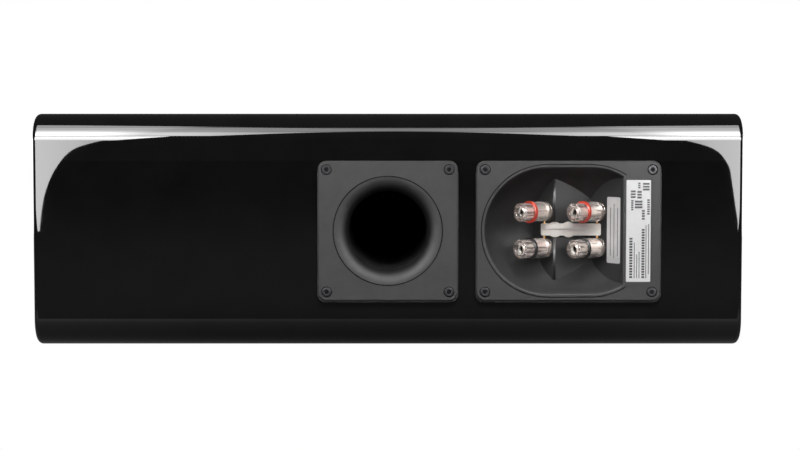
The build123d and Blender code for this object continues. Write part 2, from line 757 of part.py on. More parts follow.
def woofer_voice_coil(x):
    """Former tube with its winding in the magnet's gap."""
    start = cone_rim() + CONE_DEPTH - CONE_THICKNESS
    middle = BASKET_DEPTH + TOP_PLATE / 2
    low = middle - WINDING_LENGTH / 2
    high = middle + WINDING_LENGTH / 2
    profile = outline(
        (COIL_RADIUS - FORMER_THICKNESS, depth(start)),
        (COIL_RADIUS, depth(start)),
        (COIL_RADIUS, depth(low)),
        (COIL_RADIUS + WINDING_THICKNESS, depth(low)),
        (COIL_RADIUS + WINDING_THICKNESS, depth(high)),
        (COIL_RADIUS - FORMER_THICKNESS, depth(high)),
    )
    return turned(profile, x)


def woofer_spider(x):
    """Flat stand-in for the corrugated cloth disc that centres the coil."""
    edge = cone_radius_at(SPIDER_DEPTH) - SPIDER_LEDGE / 4
    profile = outline(
        (COIL_RADIUS + FIT, depth(SPIDER_DEPTH - SPIDER_THICKNESS - FIT)),
        (edge, depth(SPIDER_DEPTH - SPIDER_THICKNESS - FIT)),
        (edge, depth(SPIDER_DEPTH - FIT)),
        (COIL_RADIUS + FIT, depth(SPIDER_DEPTH - FIT)),
    )
    return turned(profile, x)


def gap_radius():
    return COIL_RADIUS + WINDING_THICKNESS + COIL_GAP


def ring_behind(x, inner, outer, start, thickness):
    ring = drum(outer, x, Z_MID, depth(start), thickness)
    return ring - drum(inner, x, Z_MID, depth(start), thickness)


def woofer_top_plate(x):
    return ring_behind(x, gap_radius(), BASKET_SEAT_RADIUS, BASKET_DEPTH, TOP_PLATE)


def woofer_magnet(x):
    return ring_behind(x, MAGNET_BORE, MAGNET_RADIUS, BASKET_DEPTH + TOP_PLATE, MAGNET_THICKNESS)


def woofer_yoke(x):
    back = BASKET_DEPTH + TOP_PLATE + MAGNET_THICKNESS
    pole = COIL_RADIUS - FORMER_THICKNESS - COIL_GAP
    yoke = drum(BASKET_SEAT_RADIUS, x, Z_MID, depth(back), YOKE_THICKNESS)
    return yoke + drum(pole, x, Z_MID, depth(BASKET_DEPTH), TOP_PLATE + MAGNET_THICKNESS)


def tweeter_faceplate():
    plate = drum(FACEPLATE_RADIUS, 0, Z_MID, Y_FRONT, FACEPLATE_THICKNESS)
    plate = chamfer(plate.edges().group_by(Axis.Y)[0], PLATE_EDGE)
    for spot in GridLocations(0, SLOT_PITCH, 1, SLOT_COUNT):
        slot = RectangleRounded(SLOT_WIDTH, SLOT_HEIGHT, SLOT_CORNER)
        plate -= extrude(rear_plane(0, Y_FRONT) * spot * slot, FACEPLATE_THICKNESS)
    return screw_cuts(plate)


def pleat_window():
    """Width and height of the tweeter's folded foil."""
    return SLOT_WIDTH, SLOT_COUNT * SLOT_PITCH


def tweeter_diaphragm():
    """Foil folded to and fro across X, standing along Z."""
    width, height = pleat_window()
    front = FACEPLATE_THICKNESS + 2 * FIT
    step = width / (2 * PLEAT_COUNT)
    creases = range(2 * PLEAT_COUNT + 1)
    fold = [(-width / 2 + i * step, front + (i % 2) * PLEAT_DEPTH) for i in creases]
    back = [(x, w + 2 * PLEAT_THICKNESS) for x, w in reversed(fold)]
    face = outline(*[(x, depth(w)) for x, w in fold + back])
    return Pos(0, 0, Z_MID) * extrude(face, height / 2, both=True)


def tweeter_motor():
    """Round magnet housing with a pocket for the foil and vents behind it."""
    width, height = pleat_window()
    motor = drum(MOTOR_RADIUS, 0, Z_MID, depth(FACEPLATE_THICKNESS + FIT), MOTOR_DEPTH)
    pocket = Rectangle(width + 4 * FIT, height + 4 * FIT)
    reach = PLEAT_DEPTH + 4 * PLEAT_THICKNESS
    start = rear_plane(0, depth(FACEPLATE_THICKNESS + FIT))
    return motor - extrude(start * pocket, reach)


# Crossover


def board_top():
    return WALL + BOARD[2]


def crossover_board():
    return Pos(BOARD_X, BOARD_Y, WALL + BOARD[2] / 2) * Box(*BOARD)


def crossover_coils():
    places = [(BOARD_X - BOARD[0] / 4, BOARD_Y), (BOARD_X + BOARD[0] / 4, BOARD_Y)]
    ring = Circle(COIL_OUTER) - Circle(COIL_INNER)
    return [Pos(x, y, board_top()) * extrude(ring, COIL_HEIGHT) for x, y in places]


def crossover_capacitors():
    row = BOARD_Y + BOARD[1] / 2 - CAPACITOR_RADIUS
    body = Rot(0, 90, 0) * Cylinder(CAPACITOR_RADIUS, CAPACITOR_LENGTH)
    step = BOARD[0] / 3
    return [Pos(BOARD_X + i * step, row, board_top() + CAPACITOR_RADIUS) * body for i in (-1, 0, 1)]


def crossover_resistors():
    row = BOARD_Y - BOARD[1] / 2 + RESISTOR[1]
    body = Box(*RESISTOR)
    step = BOARD[0] / 3
    return [Pos(BOARD_X + i * step, row, board_top() + RESISTOR[2] / 2) * body for i in (-1, 0, 1)]


# Export


def pieces():
    """Every node by name, as one solid or a list of like solids."""
    screws = 2 * WOOFER_SCREWS
    nodes = {
        "cabinet_shell": cabinet_shell(),
        "front_baffle": front_baffle(),
        "brace_left": brace(1),
        "brace_right": brace(-1),
        "damping_wadding": damping_wadding(),
        "port_plate": port_plate(),
        "port_tube": port_tube(),
        "port_gasket": plate_gasket(0, PORT_WIDTH, Circle(port_outer_radius() + HOLE_CLEARANCE)),
        "port_screws": plate_screws(0, PORT_WIDTH),
        "terminal_plate": terminal_plate(),
        "terminal_gasket": plate_gasket(TERMINAL_X, TERMINAL_WIDTH, dish_hole(HOLE_CLEARANCE)),
        "terminal_screws": plate_screws(TERMINAL_X, TERMINAL_WIDTH),
        "jumper_holder": jumper_holder(),
        "jumper_wire_plus": jumper_wire(1, WIRE_RADIUS),
        "jumper_wire_minus": jumper_wire(-1, WIRE_RADIUS),
        "woofer_magnets": [woofer_magnet(x) for x in SIDES.values()],
        "woofer_top_plates": [woofer_top_plate(x) for x in SIDES.values()],
        "woofer_yokes": [woofer_yoke(x) for x in SIDES.values()],
        "woofer_screws": driver_screws(0, screws),
        "tweeter_faceplate": tweeter_faceplate(),
        "tweeter_diaphragm": tweeter_diaphragm(),
        "tweeter_motor": tweeter_motor(),
        "tweeter_screws": driver_screws(screws, screws + TWEETER_SCREWS),
        "crossover_board": crossover_board(),
        "crossover_coils": crossover_coils(),
        "crossover_capacitors": crossover_capacitors(),
        "crossover_resistors": crossover_resistors(),
    }
    fixed = {
        "post_studs": post_stud(),
        "post_bases": post_base(),
        "post_rear_insulators": rear_insulator(),
        "post_nuts": post_nut(),
    }
    for node, body in fixed.items():
        nodes[node] = [post_place(name) * body for name in POSTS]
    turning = {
        "clamp_washer": clamp_washer(),
        "knob_shell": knob_shell(),
        "knob_ring": knob_ring(),
        "knob_core": knob_core(),
    }
    for name in POSTS:
        for node, body in turning.items():
            nodes[f"{node}_{name}"] = post_place(name) * body
    for side, x in SIDES.items():
        nodes[f"woofer_{side}_basket"] = woofer_basket(x)
        nodes[f"woofer_{side}_surround"] = woofer_surround(x)
        nodes[f"woofer_{side}_cone"] = woofer_cone(x)
        nodes[f"woofer_{side}_dust_cap"] = woofer_dust_cap(x)
        nodes[f"woofer_{side}_voice_coil"] = woofer_voice_coil(x)
        nodes[f"woofer_{side}_spider"] = woofer_spider(x)
    return nodes


os.makedirs("parts", exist_ok=True)
for node_name, shape in pieces().items():
    solids = shape if isinstance(shape, list) else [shape]
    node = Compound(children=[solid for body in solids for solid in body.solids()])
    export_step(node, f"parts/{node_name}.step")
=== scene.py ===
"""Center channel speaker: smooth skins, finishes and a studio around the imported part."""

import json

import bmesh
import bpy
import numpy as np
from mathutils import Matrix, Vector


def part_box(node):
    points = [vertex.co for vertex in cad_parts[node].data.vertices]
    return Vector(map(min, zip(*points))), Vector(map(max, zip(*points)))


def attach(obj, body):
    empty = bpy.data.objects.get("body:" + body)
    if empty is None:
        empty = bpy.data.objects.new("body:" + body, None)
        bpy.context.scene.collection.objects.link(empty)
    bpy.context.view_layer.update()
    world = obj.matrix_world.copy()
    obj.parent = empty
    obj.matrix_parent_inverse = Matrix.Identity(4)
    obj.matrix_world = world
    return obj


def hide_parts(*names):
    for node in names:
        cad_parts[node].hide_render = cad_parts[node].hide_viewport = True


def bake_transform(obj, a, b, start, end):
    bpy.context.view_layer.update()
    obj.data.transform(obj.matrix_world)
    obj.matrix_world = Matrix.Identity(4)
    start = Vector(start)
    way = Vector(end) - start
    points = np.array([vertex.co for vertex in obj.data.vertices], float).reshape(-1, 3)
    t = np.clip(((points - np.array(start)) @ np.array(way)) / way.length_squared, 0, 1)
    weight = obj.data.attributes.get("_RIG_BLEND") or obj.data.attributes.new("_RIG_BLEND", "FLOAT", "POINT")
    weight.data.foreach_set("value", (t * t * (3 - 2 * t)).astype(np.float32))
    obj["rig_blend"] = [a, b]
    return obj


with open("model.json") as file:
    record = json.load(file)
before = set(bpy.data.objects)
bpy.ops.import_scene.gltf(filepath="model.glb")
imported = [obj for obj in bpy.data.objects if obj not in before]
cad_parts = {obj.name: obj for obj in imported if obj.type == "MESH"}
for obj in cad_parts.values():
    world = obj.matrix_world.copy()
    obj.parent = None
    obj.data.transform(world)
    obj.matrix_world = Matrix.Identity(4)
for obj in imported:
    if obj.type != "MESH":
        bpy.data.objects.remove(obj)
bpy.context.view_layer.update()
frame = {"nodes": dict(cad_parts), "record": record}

bl_info = {
    "name": "Center Channel Speaker",
    "version": (1, 0, 0),
    "blender": (4, 5, 0),
    "location": "View3D > Sidebar > Speaker",
    "description": "Builds the skins, finishes and studio of a center channel speaker",
    "category": "Object",
}

MM = 0.001
NODES = frame["nodes"]
SLOT_OF = {part["node"]: part["material_slot"] for part in frame["record"]["subparts"]}
POSTS = ("hf_plus", "hf_minus", "lf_plus", "lf_minus")
SIDES = ("left", "right")
UP = np.array([0.0, 0.0, 1.0])


def limits(node):
    """Lowest and highest corner of a node, in metres."""
    return tuple(np.array(corner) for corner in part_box(node))


SHELL_LOW, SHELL_HIGH = limits("cabinet_shell")
BAFFLE_LOW, BAFFLE_HIGH = limits("front_baffle")
PORT_LOW, PORT_HIGH = limits("port_plate")
DISH_LOW, DISH_HIGH = limits("terminal_plate")
MIDDLE = (SHELL_LOW + SHELL_HIGH) / 2
FACE_Y = DISH_HIGH[1]
DISH_X = (DISH_LOW[0] + DISH_HIGH[0]) / 2

# Holes in the cabinet's rear wall: what the plates leave beside them, and the dish's half height.
PORT_MARGIN = 11.0 * MM
DISH_MARGINS = (25.0 * MM, 4.0 * MM)
DISH_HALF = 52.5 * MM

# Openings in the baffle, and the seats that take the drivers' rims.
OPENINGS = {
    "woofer_left_basket": 68.0 * MM,
    "woofer_right_basket": 68.0 * MM,
    "tweeter_faceplate": 38.3 * MM,
}
SEAT_DEPTH = 4.0 * MM
SEAT_PLAY = 0.3 * MM

# Terminal dish, measured from its plate's centre towards -X and inwards from the plate's face.
TILT = np.radians(50.0)
RIDGE_PLACE = 31.1 * MM
RIDGE_DEPTH = 16.5 * MM
CREST_PLACE = -9.8 * MM
CREST_WIDTH = 2.2 * MM
CREST_HEIGHT = 0.6 * MM
CREST_ENDS = (6.6 * MM, 40.0 * MM)
WHITE_LABEL_PLACE = 54.8 * MM
SILVER_LABEL_PLACE = 36.45 * MM
SLOPE = np.array([-np.cos(TILT), np.sin(TILT), 0.0])
POST_TURN = (0.0, 0.0, np.pi / 2 - TILT)

# Fine grooves in the plates, the flare of the port, and the screws' painted shadow sheets.
GROOVE_DEPTH = 0.5 * MM
GROOVE_WIDTH = 0.8 * MM
PORT_MOUTH = 42.6 * MM
PORT_BORE = 31.0 * MM
RIM_RADIUS = 51.85 * MM
RIM_ENDS = (-16.5 * MM, 17.0 * MM)
RIM_STOP = 45.1 * MM
SCREW_HEAD = 3.6 * MM
SCREW_RECESS = 4.3 * MM
SCREW_SOCKET = 1.9 * MM
SCREW_SEAM = 0.05 * MM
SHADOW = 0.1 * MM

# Thickness of the sheets that scene.py lays on the plates: bead, painted groove shadow, ink.
BEAD_WALL = 0.1 * MM
GROOVE_WALL = 0.04 * MM
INK_WALL = 0.015 * MM
INK_GAP = 0.02 * MM

# Width, height and corner radius of the labels, and their plain bars: place across, start and
# end along, and breadth, in millimetres.
LABEL_SIZES = {"white_label": (19.2, 80.2, 0.6), "silver_label": (14.2, 52.5, 1.4)}
LABEL_BARS = {
    "white_label": (
        (2.6, 3.0, 36.0, 2.4),
        (6.1, 3.0, 31.0, 0.8),
        (8.0, 3.0, 22.0, 0.8),
        (9.9, 3.0, 24.0, 0.8),
        (12.2, 3.0, 43.0, 2.3),
        (15.2, 3.0, 45.0, 0.8),
        (17.2, 6.0, 46.0, 0.9),
        (12.2, 49.0, 56.4, 2.3),
        (16.4, 53.0, 64.7, 2.0),
        (3.7, 56.4, 64.2, 1.9),
        (6.6, 58.0, 64.5, 6.0),
        (8.6, 65.7, 71.6, 3.4),
        (3.4, 66.0, 71.5, 3.8),
        (12.9, 72.0, 78.6, 5.2),
        (9.1, 73.8, 78.0, 1.8),
    ),
    "silver_label": (
        (3.4, 6.0, 44.0, 0.8),
        (7.2, 4.0, 47.0, 0.8),
        (11.0, 6.0, 44.0, 0.8),
    ),
}


def linear(code):
    """Turns an sRGB hex code into linear red, green and blue."""
    values = np.array([int(code[i : i + 2], 16) for i in (1, 3, 5)]) / 255
    return tuple(np.where(values <= 0.04045, values / 12.92, ((values + 0.055) / 1.055) ** 2.4))


def length(name, description, millimetres):
    """Property for a length that is given in millimetres."""
    return bpy.props.FloatProperty(
        name=name, description=description, default=millimetres * MM, min=0.0, unit="LENGTH"
    )


def tint(name, description, code):
    """Property for a colour that is given as a hex code."""
    return bpy.props.FloatVectorProperty(
        name=name,
        description=description,
        default=linear(code),
        min=0.0,
        max=1.0,
        size=3,
        subtype="COLOR",
    )


class SpeakerSizes(bpy.types.PropertyGroup):
    """Sizes of the skins that a user would change."""

    rear_radius: length("Rear edge", "Radius of the long rear edges", 21.0)
    front_radius: length("Front edge", "Radius of the long front edges", 9.0)
    end_radius: length("End edge", "Radius around each end", 4.2)
    wall: length("Wall", "Thickness of the top, bottom and rear walls", 16.0)
    end_wall: length("End wall", "Thickness of the end walls", 18.0)
    soft_edge: length("Soft edge", "Rounding of moulded edges", 0.25)
    label_thickness: length("Label", "Thickness of the stuck-on labels", 0.12)
    rubber: length("Rubber", "Thickness of the woofer surround", 1.2)
    cone_wall: length("Cone", "Thickness of the woofer cone", 1.2)
    corrugation: length("Corrugation", "Height of the spider's waves", 1.3)


class SpeakerColours(bpy.types.PropertyGroup):
    """Colours of the finishes."""

    lacquer: tint("Lacquer", "Gloss lacquer of the cabinet", "#171718")
    moulding: tint("Moulding", "Grained plastic of the rear plates", "#434343")
    ring_red: tint("Red ring", "Ring of the plus posts", "#e8412a")
    ring_black: tint("Black ring", "Ring of the minus posts", "#0d0d0e")
    grip: tint("Grip", "Clear plastic of the posts", "#fff6f2")
    nickel: tint("Nickel", "Plating of the studs", "#f4e9e0")
    gold: tint("Gold", "Plating of the jumper wires", "#97754f")
    holder: tint("Holder", "Milky plastic of the jumper", "#f6efe9")
    paper: tint("Paper label", "White label", "#ffffff")
    silver: tint("Silver label", "Metallised label", "#e8e8e8")
    ink: tint("Ink", "Bars printed on the labels", "#2a2a2a")
    cone: tint("Cone", "Anodised woofer cones", "#5c5d62")


# Meshes


def quads(rows, columns, close_rows=False, close_columns=False):
    """Corner numbers of the quads of a grid, closed round in either direction."""
    row = np.arange(rows if close_rows else rows - 1)[:, None]
    column = np.arange(columns if close_columns else columns - 1)[None, :]
    next_row = (row + 1) % rows
    next_column = (column + 1) % columns
    corners = [
        row * columns + column,
        row * columns + next_column,
        next_row * columns + next_column,
        next_row * columns + column,
    ]
    return np.stack([corner.ravel() for corner in corners], axis=1).tolist()


def new_piece(name, points, faces):
    """Object at the origin whose mesh has these points and faces."""
    mesh = bpy.data.meshes.new(name)
    mesh.from_pydata(np.asarray(points).reshape(-1, 3).tolist(), [], faces)
    piece = bpy.data.objects.new(name, mesh)
    bpy.context.scene.collection.objects.link(piece)
    return piece


def settle(piece, crease=30.0, flatten=False, outwards=True):
    """Merges doubles, points faces outwards and shades smooth between the creases, which are
    the edges whose faces turn by more than an angle in degrees."""
    mesh = piece.data
    limit = float(np.radians(crease))
    work = bmesh.new()
    work.from_mesh(mesh)
    bmesh.ops.remove_doubles(work, verts=work.verts, dist=1e-6)
    if flatten:
        bmesh.ops.dissolve_limit(
            work, angle_limit=np.radians(0.2), verts=work.verts, edges=work.edges
        )
    if outwards:
        bmesh.ops.recalc_face_normals(work, faces=work.faces)
    work.normal_update()
    for edge in work.edges:
        edge.smooth = edge.calc_face_angle(0.0) < limit
    work.to_mesh(mesh)
    work.free()
    mesh.shade_smooth()
    return piece


def soften(piece, width):
    """Rounds the creases of a piece."""
    bevel = piece.modifiers.new("Soft edges", "BEVEL")
    bevel.width = width
    bevel.segments = 2
    bevel.limit_method = "ANGLE"
    bevel.angle_limit = np.radians(35)
    return piece


def thicken(piece, thickness):
    """Closes an open sheet by giving it a thickness behind its face."""
    wall = piece.modifiers.new("Thickness", "SOLIDIFY")
    wall.thickness = thickness
    wall.offset = -1
    return piece


def even(piece):
    """Lets large flat faces govern the shading at their edges."""
    shading = piece.modifiers.new("Even shading", "WEIGHTED_NORMAL")
    shading.keep_sharp = True
    shading.weight = 100
    return piece


def carve(piece, *cutters):
    """Takes the cutters out of a piece."""
    for cutter in cutters:
        cut = piece.modifiers.new(cutter.name, "BOOLEAN")
        cut.operation = "DIFFERENCE"
        cut.solver = "EXACT"
        cut.object = cutter
    graph = bpy.context.evaluated_depsgraph_get()
    carved = bpy.data.meshes.new_from_object(piece.evaluated_get(graph))
    piece.modifiers.clear()
    piece.data = carved
    for cutter in cutters:
        bpy.data.objects.remove(cutter)
    return piece


def turned(name, profile, centre, steps=128):
    """Turns a closed profile of radius and height about an axis along Y: p(a, i) = centre +
    (radius(i) * cos a, height(i), radius(i) * sin a)."""
    radius, height = np.asarray(profile).T
    angle = np.linspace(0, 2 * np.pi, steps, endpoint=False)[:, None]
    x, z = radius * np.cos(angle), radius * np.sin(angle)
    y = np.broadcast_to(height, x.shape)
    points = np.asarray(centre) + np.stack([x, y, z], axis=2)
    return new_piece(name, points, quads(steps, len(radius), True, True))


def arc(centre, radius, start, end, steps):
    """Points of an arc, with the directions outwards from its centre."""
    angle = np.radians(np.linspace(start, end, steps + 1))
    out = np.stack([np.cos(angle), np.sin(angle)], axis=1)
    return np.asarray(centre) + radius * out, out


def rounded_off(points):
    """Cuts each corner of an open outline at a quarter of its two sides."""
    near = 0.75 * points[:-1] + 0.25 * points[1:]
    far = 0.25 * points[:-1] + 0.75 * points[1:]
    cut = np.stack([near, far], axis=1).reshape(-1, 2)
    return np.vstack([points[:1], cut, points[-1:]])


def rounded_bar(name, low, high, radius, end_radius, facing):
    """Bar along X whose two long edges on one side, and whose ends, are rounded. Its section
    p(i) is carried along X and drawn in by end_radius * (1 - cos a) while x goes out by
    end_radius * sin a."""
    steps = 24
    near, far = (low[1], high[1]) if facing > 0 else (high[1], low[1])
    inset = far - facing * radius
    first = (-90, 0) if facing > 0 else (270, 180)
    last = (0, 90) if facing > 0 else (180, 90)
    lower, lower_out = arc((inset, low[2] + radius), radius, *first, steps)
    upper, upper_out = arc((inset, high[2] - radius), radius, *last, steps)
    section = np.vstack([[(near, low[2])], lower, upper, [(near, high[2])]])
    outward = np.vstack([[(0, -1)], lower_out, upper_out, [(0, 1)]])
    turn = np.linspace(0, np.pi / 2, steps // 2 + 1)
    reach = high[0] - end_radius + end_radius * np.sin(turn)
    drawn = end_radius * (1 - np.cos(turn))
    x = np.concatenate([-reach[::-1], reach])
    draw = np.concatenate([drawn[::-1], drawn])
    flat = section[None] - draw[:, None, None] * outward[None]
    along = np.broadcast_to(x[:, None, None], flat.shape[:2] + (1,))
    points = np.concatenate([along, flat], axis=2)
    rows, columns = flat.shape[:2]
    faces = quads(rows, columns, False, True)
    faces.append(list(range(columns)))
    faces.append(list(range((rows - 1) * columns, rows * columns)))
    return settle(new_piece(name, points, faces))


def block(name, low, high):
    """Box between two corners, as the eight products of its limits."""
    grid = np.array(np.meshgrid(*zip(low, high), indexing="ij")).reshape(3, -1).T
    faces = [(0, 1, 3, 2), (4, 6, 7, 5), (0, 4, 5, 1), (2, 3, 7, 6), (0, 2, 6, 4), (1, 5, 7, 3)]
    return settle(new_piece(name, grid, faces))


def drum(name, x, radius, start, end):
    """Cylinder along Y at the cabinet's middle height, turned from its half section."""
    profile = [(0, start), (radius, start), (radius, end), (0, end)]
    return settle(turned(name, profile, (x, 0, MIDDLE[2]), 160))


def patch(name, centre, across, width, height, corner, thickness):
    """Round-cornered sheet on the plane of a direction and the upright: its outline is four
    quarter arcs, raised by its thickness."""
    half = np.array([width, height]) / 2 - corner
    outline = []
    for i, (sign_a, sign_b) in enumerate(((1, 1), (-1, 1), (-1, -1), (1, -1))):
        points, _ = arc((sign_a * half[0], sign_b * half[1]), corner, 90 * i, 90 * i + 90, 8)
        outline.append(points)
    outline = np.vstack(outline)
    normal = np.cross(across, UP)
    ground = centre + outline[:, :1] * across + outline[:, 1:] * UP
    count = len(outline)
    points = np.vstack([ground, ground + thickness * normal])
    faces = quads(2, count, False, True)
    faces.append(list(range(count)))
    faces.append(list(range(count, 2 * count)))
    return settle(new_piece(name, points, faces))


def skin(node, crease=30.0, edge=0.0):
    """Smooth copy of a CAD node whose shape is right."""
    piece = bpy.data.objects.new(f"{node}_skin", NODES[node].data.copy())
    bpy.context.scene.collection.objects.link(piece)
    settle(piece, crease, flatten=True, outwards=False)
    if edge:
        soften(piece, edge)
    return even(piece)


def wear(piece, body, slot, *nodes):
    """Gives a piece its finish, its body and the nodes that it stands for."""
    piece.data.materials.clear()
    piece.data.materials.append(finish(slot))
    if "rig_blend" not in piece:
        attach(piece, body)
    if nodes:
        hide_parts(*nodes)


def dress(node, slot, body="cabinet", crease=30.0, edge=0.0):
    """Puts a smooth copy with a finish in the place of a CAD node."""
    wear(skin(node, crease, edge), body, slot, node)


def offsets(piece, centre):
    """Places of a piece's points from a driver's centre, and their distances from its axis."""
    points = np.empty(3 * len(piece.data.vertices), np.float32)
    piece.data.vertices.foreach_get("co", points)
    offset = points.reshape(-1, 3) - centre
    return offset, np.hypot(offset[:, 0], offset[:, 2])


# Finishes


def add(tree, kind, inputs=None, links=None, to=None, **settings):
    """Adds a node, sets its properties and sockets, and links it: its sockets to their sources,
    where a node stands for its first output, and its own first output to another socket."""
    item = tree.nodes.new(kind)
    for key, value in settings.items():
        setattr(item, key, value)
    for key, value in (inputs or {}).items():
        item.inputs[key].default_value = value
    for key, source in (links or {}).items():
        output = source.outputs[0] if isinstance(source, bpy.types.Node) else source
        tree.links.new(output, item.inputs[key])
    if to:
        tree.links.new(item.outputs[0], to)
    return item


def start_finish(name, **inputs):
    """Starts a material with one shader, and gives its tree, shader and object coordinates."""
    material = bpy.data.materials.new(name)
    material.use_nodes = True
    tree = material.node_tree
    tree.nodes.clear()
    named = {key.replace("_", " "): value for key, value in inputs.items()}
    shader = add(tree, "ShaderNodeBsdfPrincipled", named)
    add(tree, "ShaderNodeOutputMaterial", links={"Surface": shader})
    place = add(tree, "ShaderNodeTexCoord").outputs["Object"]
    return material, tree, shader, place


def shade(colour, factor):
    """Colour times a factor, with its alpha."""
    return tuple(np.clip(np.array(colour[:3]) * factor, 0, 1)) + (1.0,)


def mottle(tree, shader, place, colour, low, high, grain, roughness, band=(0.3, 0.7)):
    """Varies colour and roughness gently over a grain size, and gives the noise that it follows."""
    noise = add(
        tree,
        "ShaderNodeTexNoise",
        {"Scale": 1 / grain, "Detail": 4.0, "Roughness": 0.6},
        {"Vector": place},
    )
    ramp = add(tree, "ShaderNodeValToRGB", links={"Fac": noise}, to=shader.inputs["Base Color"])
    for element, position, factor in zip(ramp.color_ramp.elements, band, (low, high)):
        element.position = position
        element.color = shade(colour, factor)
    add(
        tree,
        "ShaderNodeMapRange",
        {"To Min": roughness[0], "To Max": roughness[1]},
        {"Value": noise},
        shader.inputs["Roughness"],
    )
    return noise


def polished_lacquer(name, colour):
    """Polyester lacquer, sanded and polished: a deep mirror with a faint long ripple."""
    material, tree, shader, place = start_finish(name, IOR=1.5)
    mottle(tree, shader, place, colour, 0.85, 1.15, 30 * MM, (0.006, 0.018))
    ripple = add(
        tree, "ShaderNodeTexNoise", {"Scale": 1 / (38 * MM), "Detail": 1.0}, {"Vector": place}
    )
    add(
        tree,
        "ShaderNodeBump",
        {"Strength": 0.25, "Distance": 0.02 * MM},
        {"Height": ripple},
        shader.inputs["Normal"],
    )
    return material


def grained_plastic(name, colour, roughness=(0.44, 0.54), shine=0.16):
    """ABS moulded against a spark-eroded tool: fine even pits that scatter the light. The pits
    are drawn about three times too coarse, so that they show in a picture."""
    grain = 0.9 * MM
    material, tree, shader, place = start_finish(name, Specular_IOR_Level=shine)
    mottle(tree, shader, place, colour, 0.93, 1.07, 14 * MM, roughness)
    pits = add(
        tree, "ShaderNodeTexNoise", {"Scale": 1 / grain, "Detail": 3.0}, {"Vector": place}
    )
    add(
        tree,
        "ShaderNodeBump",
        {"Strength": 0.5, "Distance": grain / 18},
        {"Height": pits},
        shader.inputs["Normal"],
    )
    return material


def plastic_with_painted_hollow_shade(name, colour, centre, across, band, shade_tones):
    """Grained plastic with painted shade that darkens it into a hollow: its tone runs over a band
    of distances from the centre, measured across the given axes."""
    material = grained_plastic(name, colour)
    tree = material.node_tree
    shader = next(item for item in tree.nodes if item.type == "BSDF_PRINCIPLED")
    place = add(tree, "ShaderNodeTexCoord").outputs["Object"]
    offset = add(
        tree,
        "ShaderNodeMapping",
        {"Location": -np.array(centre) * across, "Scale": across},
        {"Vector": place},
    )
    away = add(tree, "ShaderNodeVectorMath", links={0: offset}, operation="LENGTH")
    # Painted shade: the base colour is scaled down by the given tones towards the hollow.
    depth = add(
        tree,
        "ShaderNodeMapRange",
        {"From Min": band[0], "From Max": band[1], "To Min": shade_tones[0], "To Max": shade_tones[1]},
        {"Value": away.outputs["Value"]},
        interpolation_type="SMOOTHSTEP",
    )
    base = shader.inputs["Base Color"]
    mottled = base.links[0].from_socket
    add(
        tree, "ShaderNodeVectorMath", links={0: mottled, "Scale": depth}, to=base, operation="SCALE"
    )
    return material


def clear_plastic(name, colour):
    """Injection-moulded polycarbonate: clear, with flow lines along the post in its surface."""
    material, tree, shader, place = start_finish(name, IOR=1.58, Transmission_Weight=0.9)
    along = add(
        tree,
        "ShaderNodeMapping",
        {"Rotation": POST_TURN, "Scale": (5.0, 1.0, 1.0)},
        {"Vector": place},
        vector_type="TEXTURE",
    )
    flow = mottle(tree, shader, along, colour, 0.97, 1.0, 1.8 * MM, (0.02, 0.05))
    add(
        tree,
        "ShaderNodeBump",
        {"Strength": 0.4, "Distance": 0.5 * MM},
        {"Height": flow},
        shader.inputs["Normal"],
    )
    return material


def gloss_plastic(name, colour):
    """Dyed polycarbonate: even colour and a shiny moulded skin."""
    material, tree, shader, place = start_finish(name, IOR=1.585, Coat_Weight=0.4)
    mottle(tree, shader, place, colour, 0.9, 1.1, 2 * MM, (0.16, 0.3))
    return material


def milky_plastic(name, colour):
    """Natural polythene: cloudy, waxy and lit from within."""
    material, tree, shader, place = start_finish(
        name, IOR=1.4, Transmission_Weight=0.04, Subsurface_Weight=0.3
    )
    shader.inputs["Subsurface Radius"].default_value = (1.0, 0.8, 0.7)
    shader.inputs["Subsurface Scale"].default_value = 2 * MM
    cloud = mottle(tree, shader, place, colour, 0.9, 1.06, 6 * MM, (0.4, 0.5))
    add(
        tree,
        "ShaderNodeBump",
        {"Strength": 0.2, "Distance": 0.3 * MM},
        {"Height": cloud},
        shader.inputs["Normal"],
    )
    return material


def splined_metal_painted_shade(name, colour):
    """Plated insert with ribs along the post, which the clear grip shows as dark and light
    streaks: painted shade and highlight in its colour, from 0.03 to 1.3 times the nickel."""
    material, tree, shader, place = start_finish(name, Metallic=1.0)
    along = add(
        tree,
        "ShaderNodeMapping",
        {"Rotation": POST_TURN, "Scale": (14.0, 1.0, 1.0)},
        {"Vector": place},
        vector_type="TEXTURE",
    )
    # Painted shade and highlight: the streaks run from 0.03 to 1.3 times the colour.
    ribs = mottle(tree, shader, along, colour, 0.03, 1.3, 2.2 * MM, (0.24, 0.4), (0.4, 0.52))
    add(
        tree,
        "ShaderNodeBump",
        {"Strength": 0.7, "Distance": 0.6 * MM},
        {"Height": ribs},
        shader.inputs["Normal"],
    )
    return material


def turned_metal(name, colour, roughness=(0.14, 0.26)):
    """Plated or bare metal, with the lines that a lathe leaves round the posts' axis. They are
    0.35 mm apart, coarser than real ones, so that they show."""
    material, tree, shader, place = start_finish(name, Metallic=1.0)
    mottle(tree, shader, place, colour, 0.92, 1.05, 2.5 * MM, roughness)
    along = add(
        tree,
        "ShaderNodeMapping",
        {"Rotation": POST_TURN, "Scale": (0.125, 2.5, 2.5)},
        {"Vector": place},
        vector_type="TEXTURE",
    )
    marks = add(
        tree, "ShaderNodeTexNoise", {"Scale": 0.2 / (0.35 * MM), "Detail": 2.0}, {"Vector": along}
    )
    add(
        tree,
        "ShaderNodeBump",
        {"Strength": 0.18, "Distance": 0.03 * MM},
        {"Height": marks},
        shader.inputs["Normal"],
    )
    return material


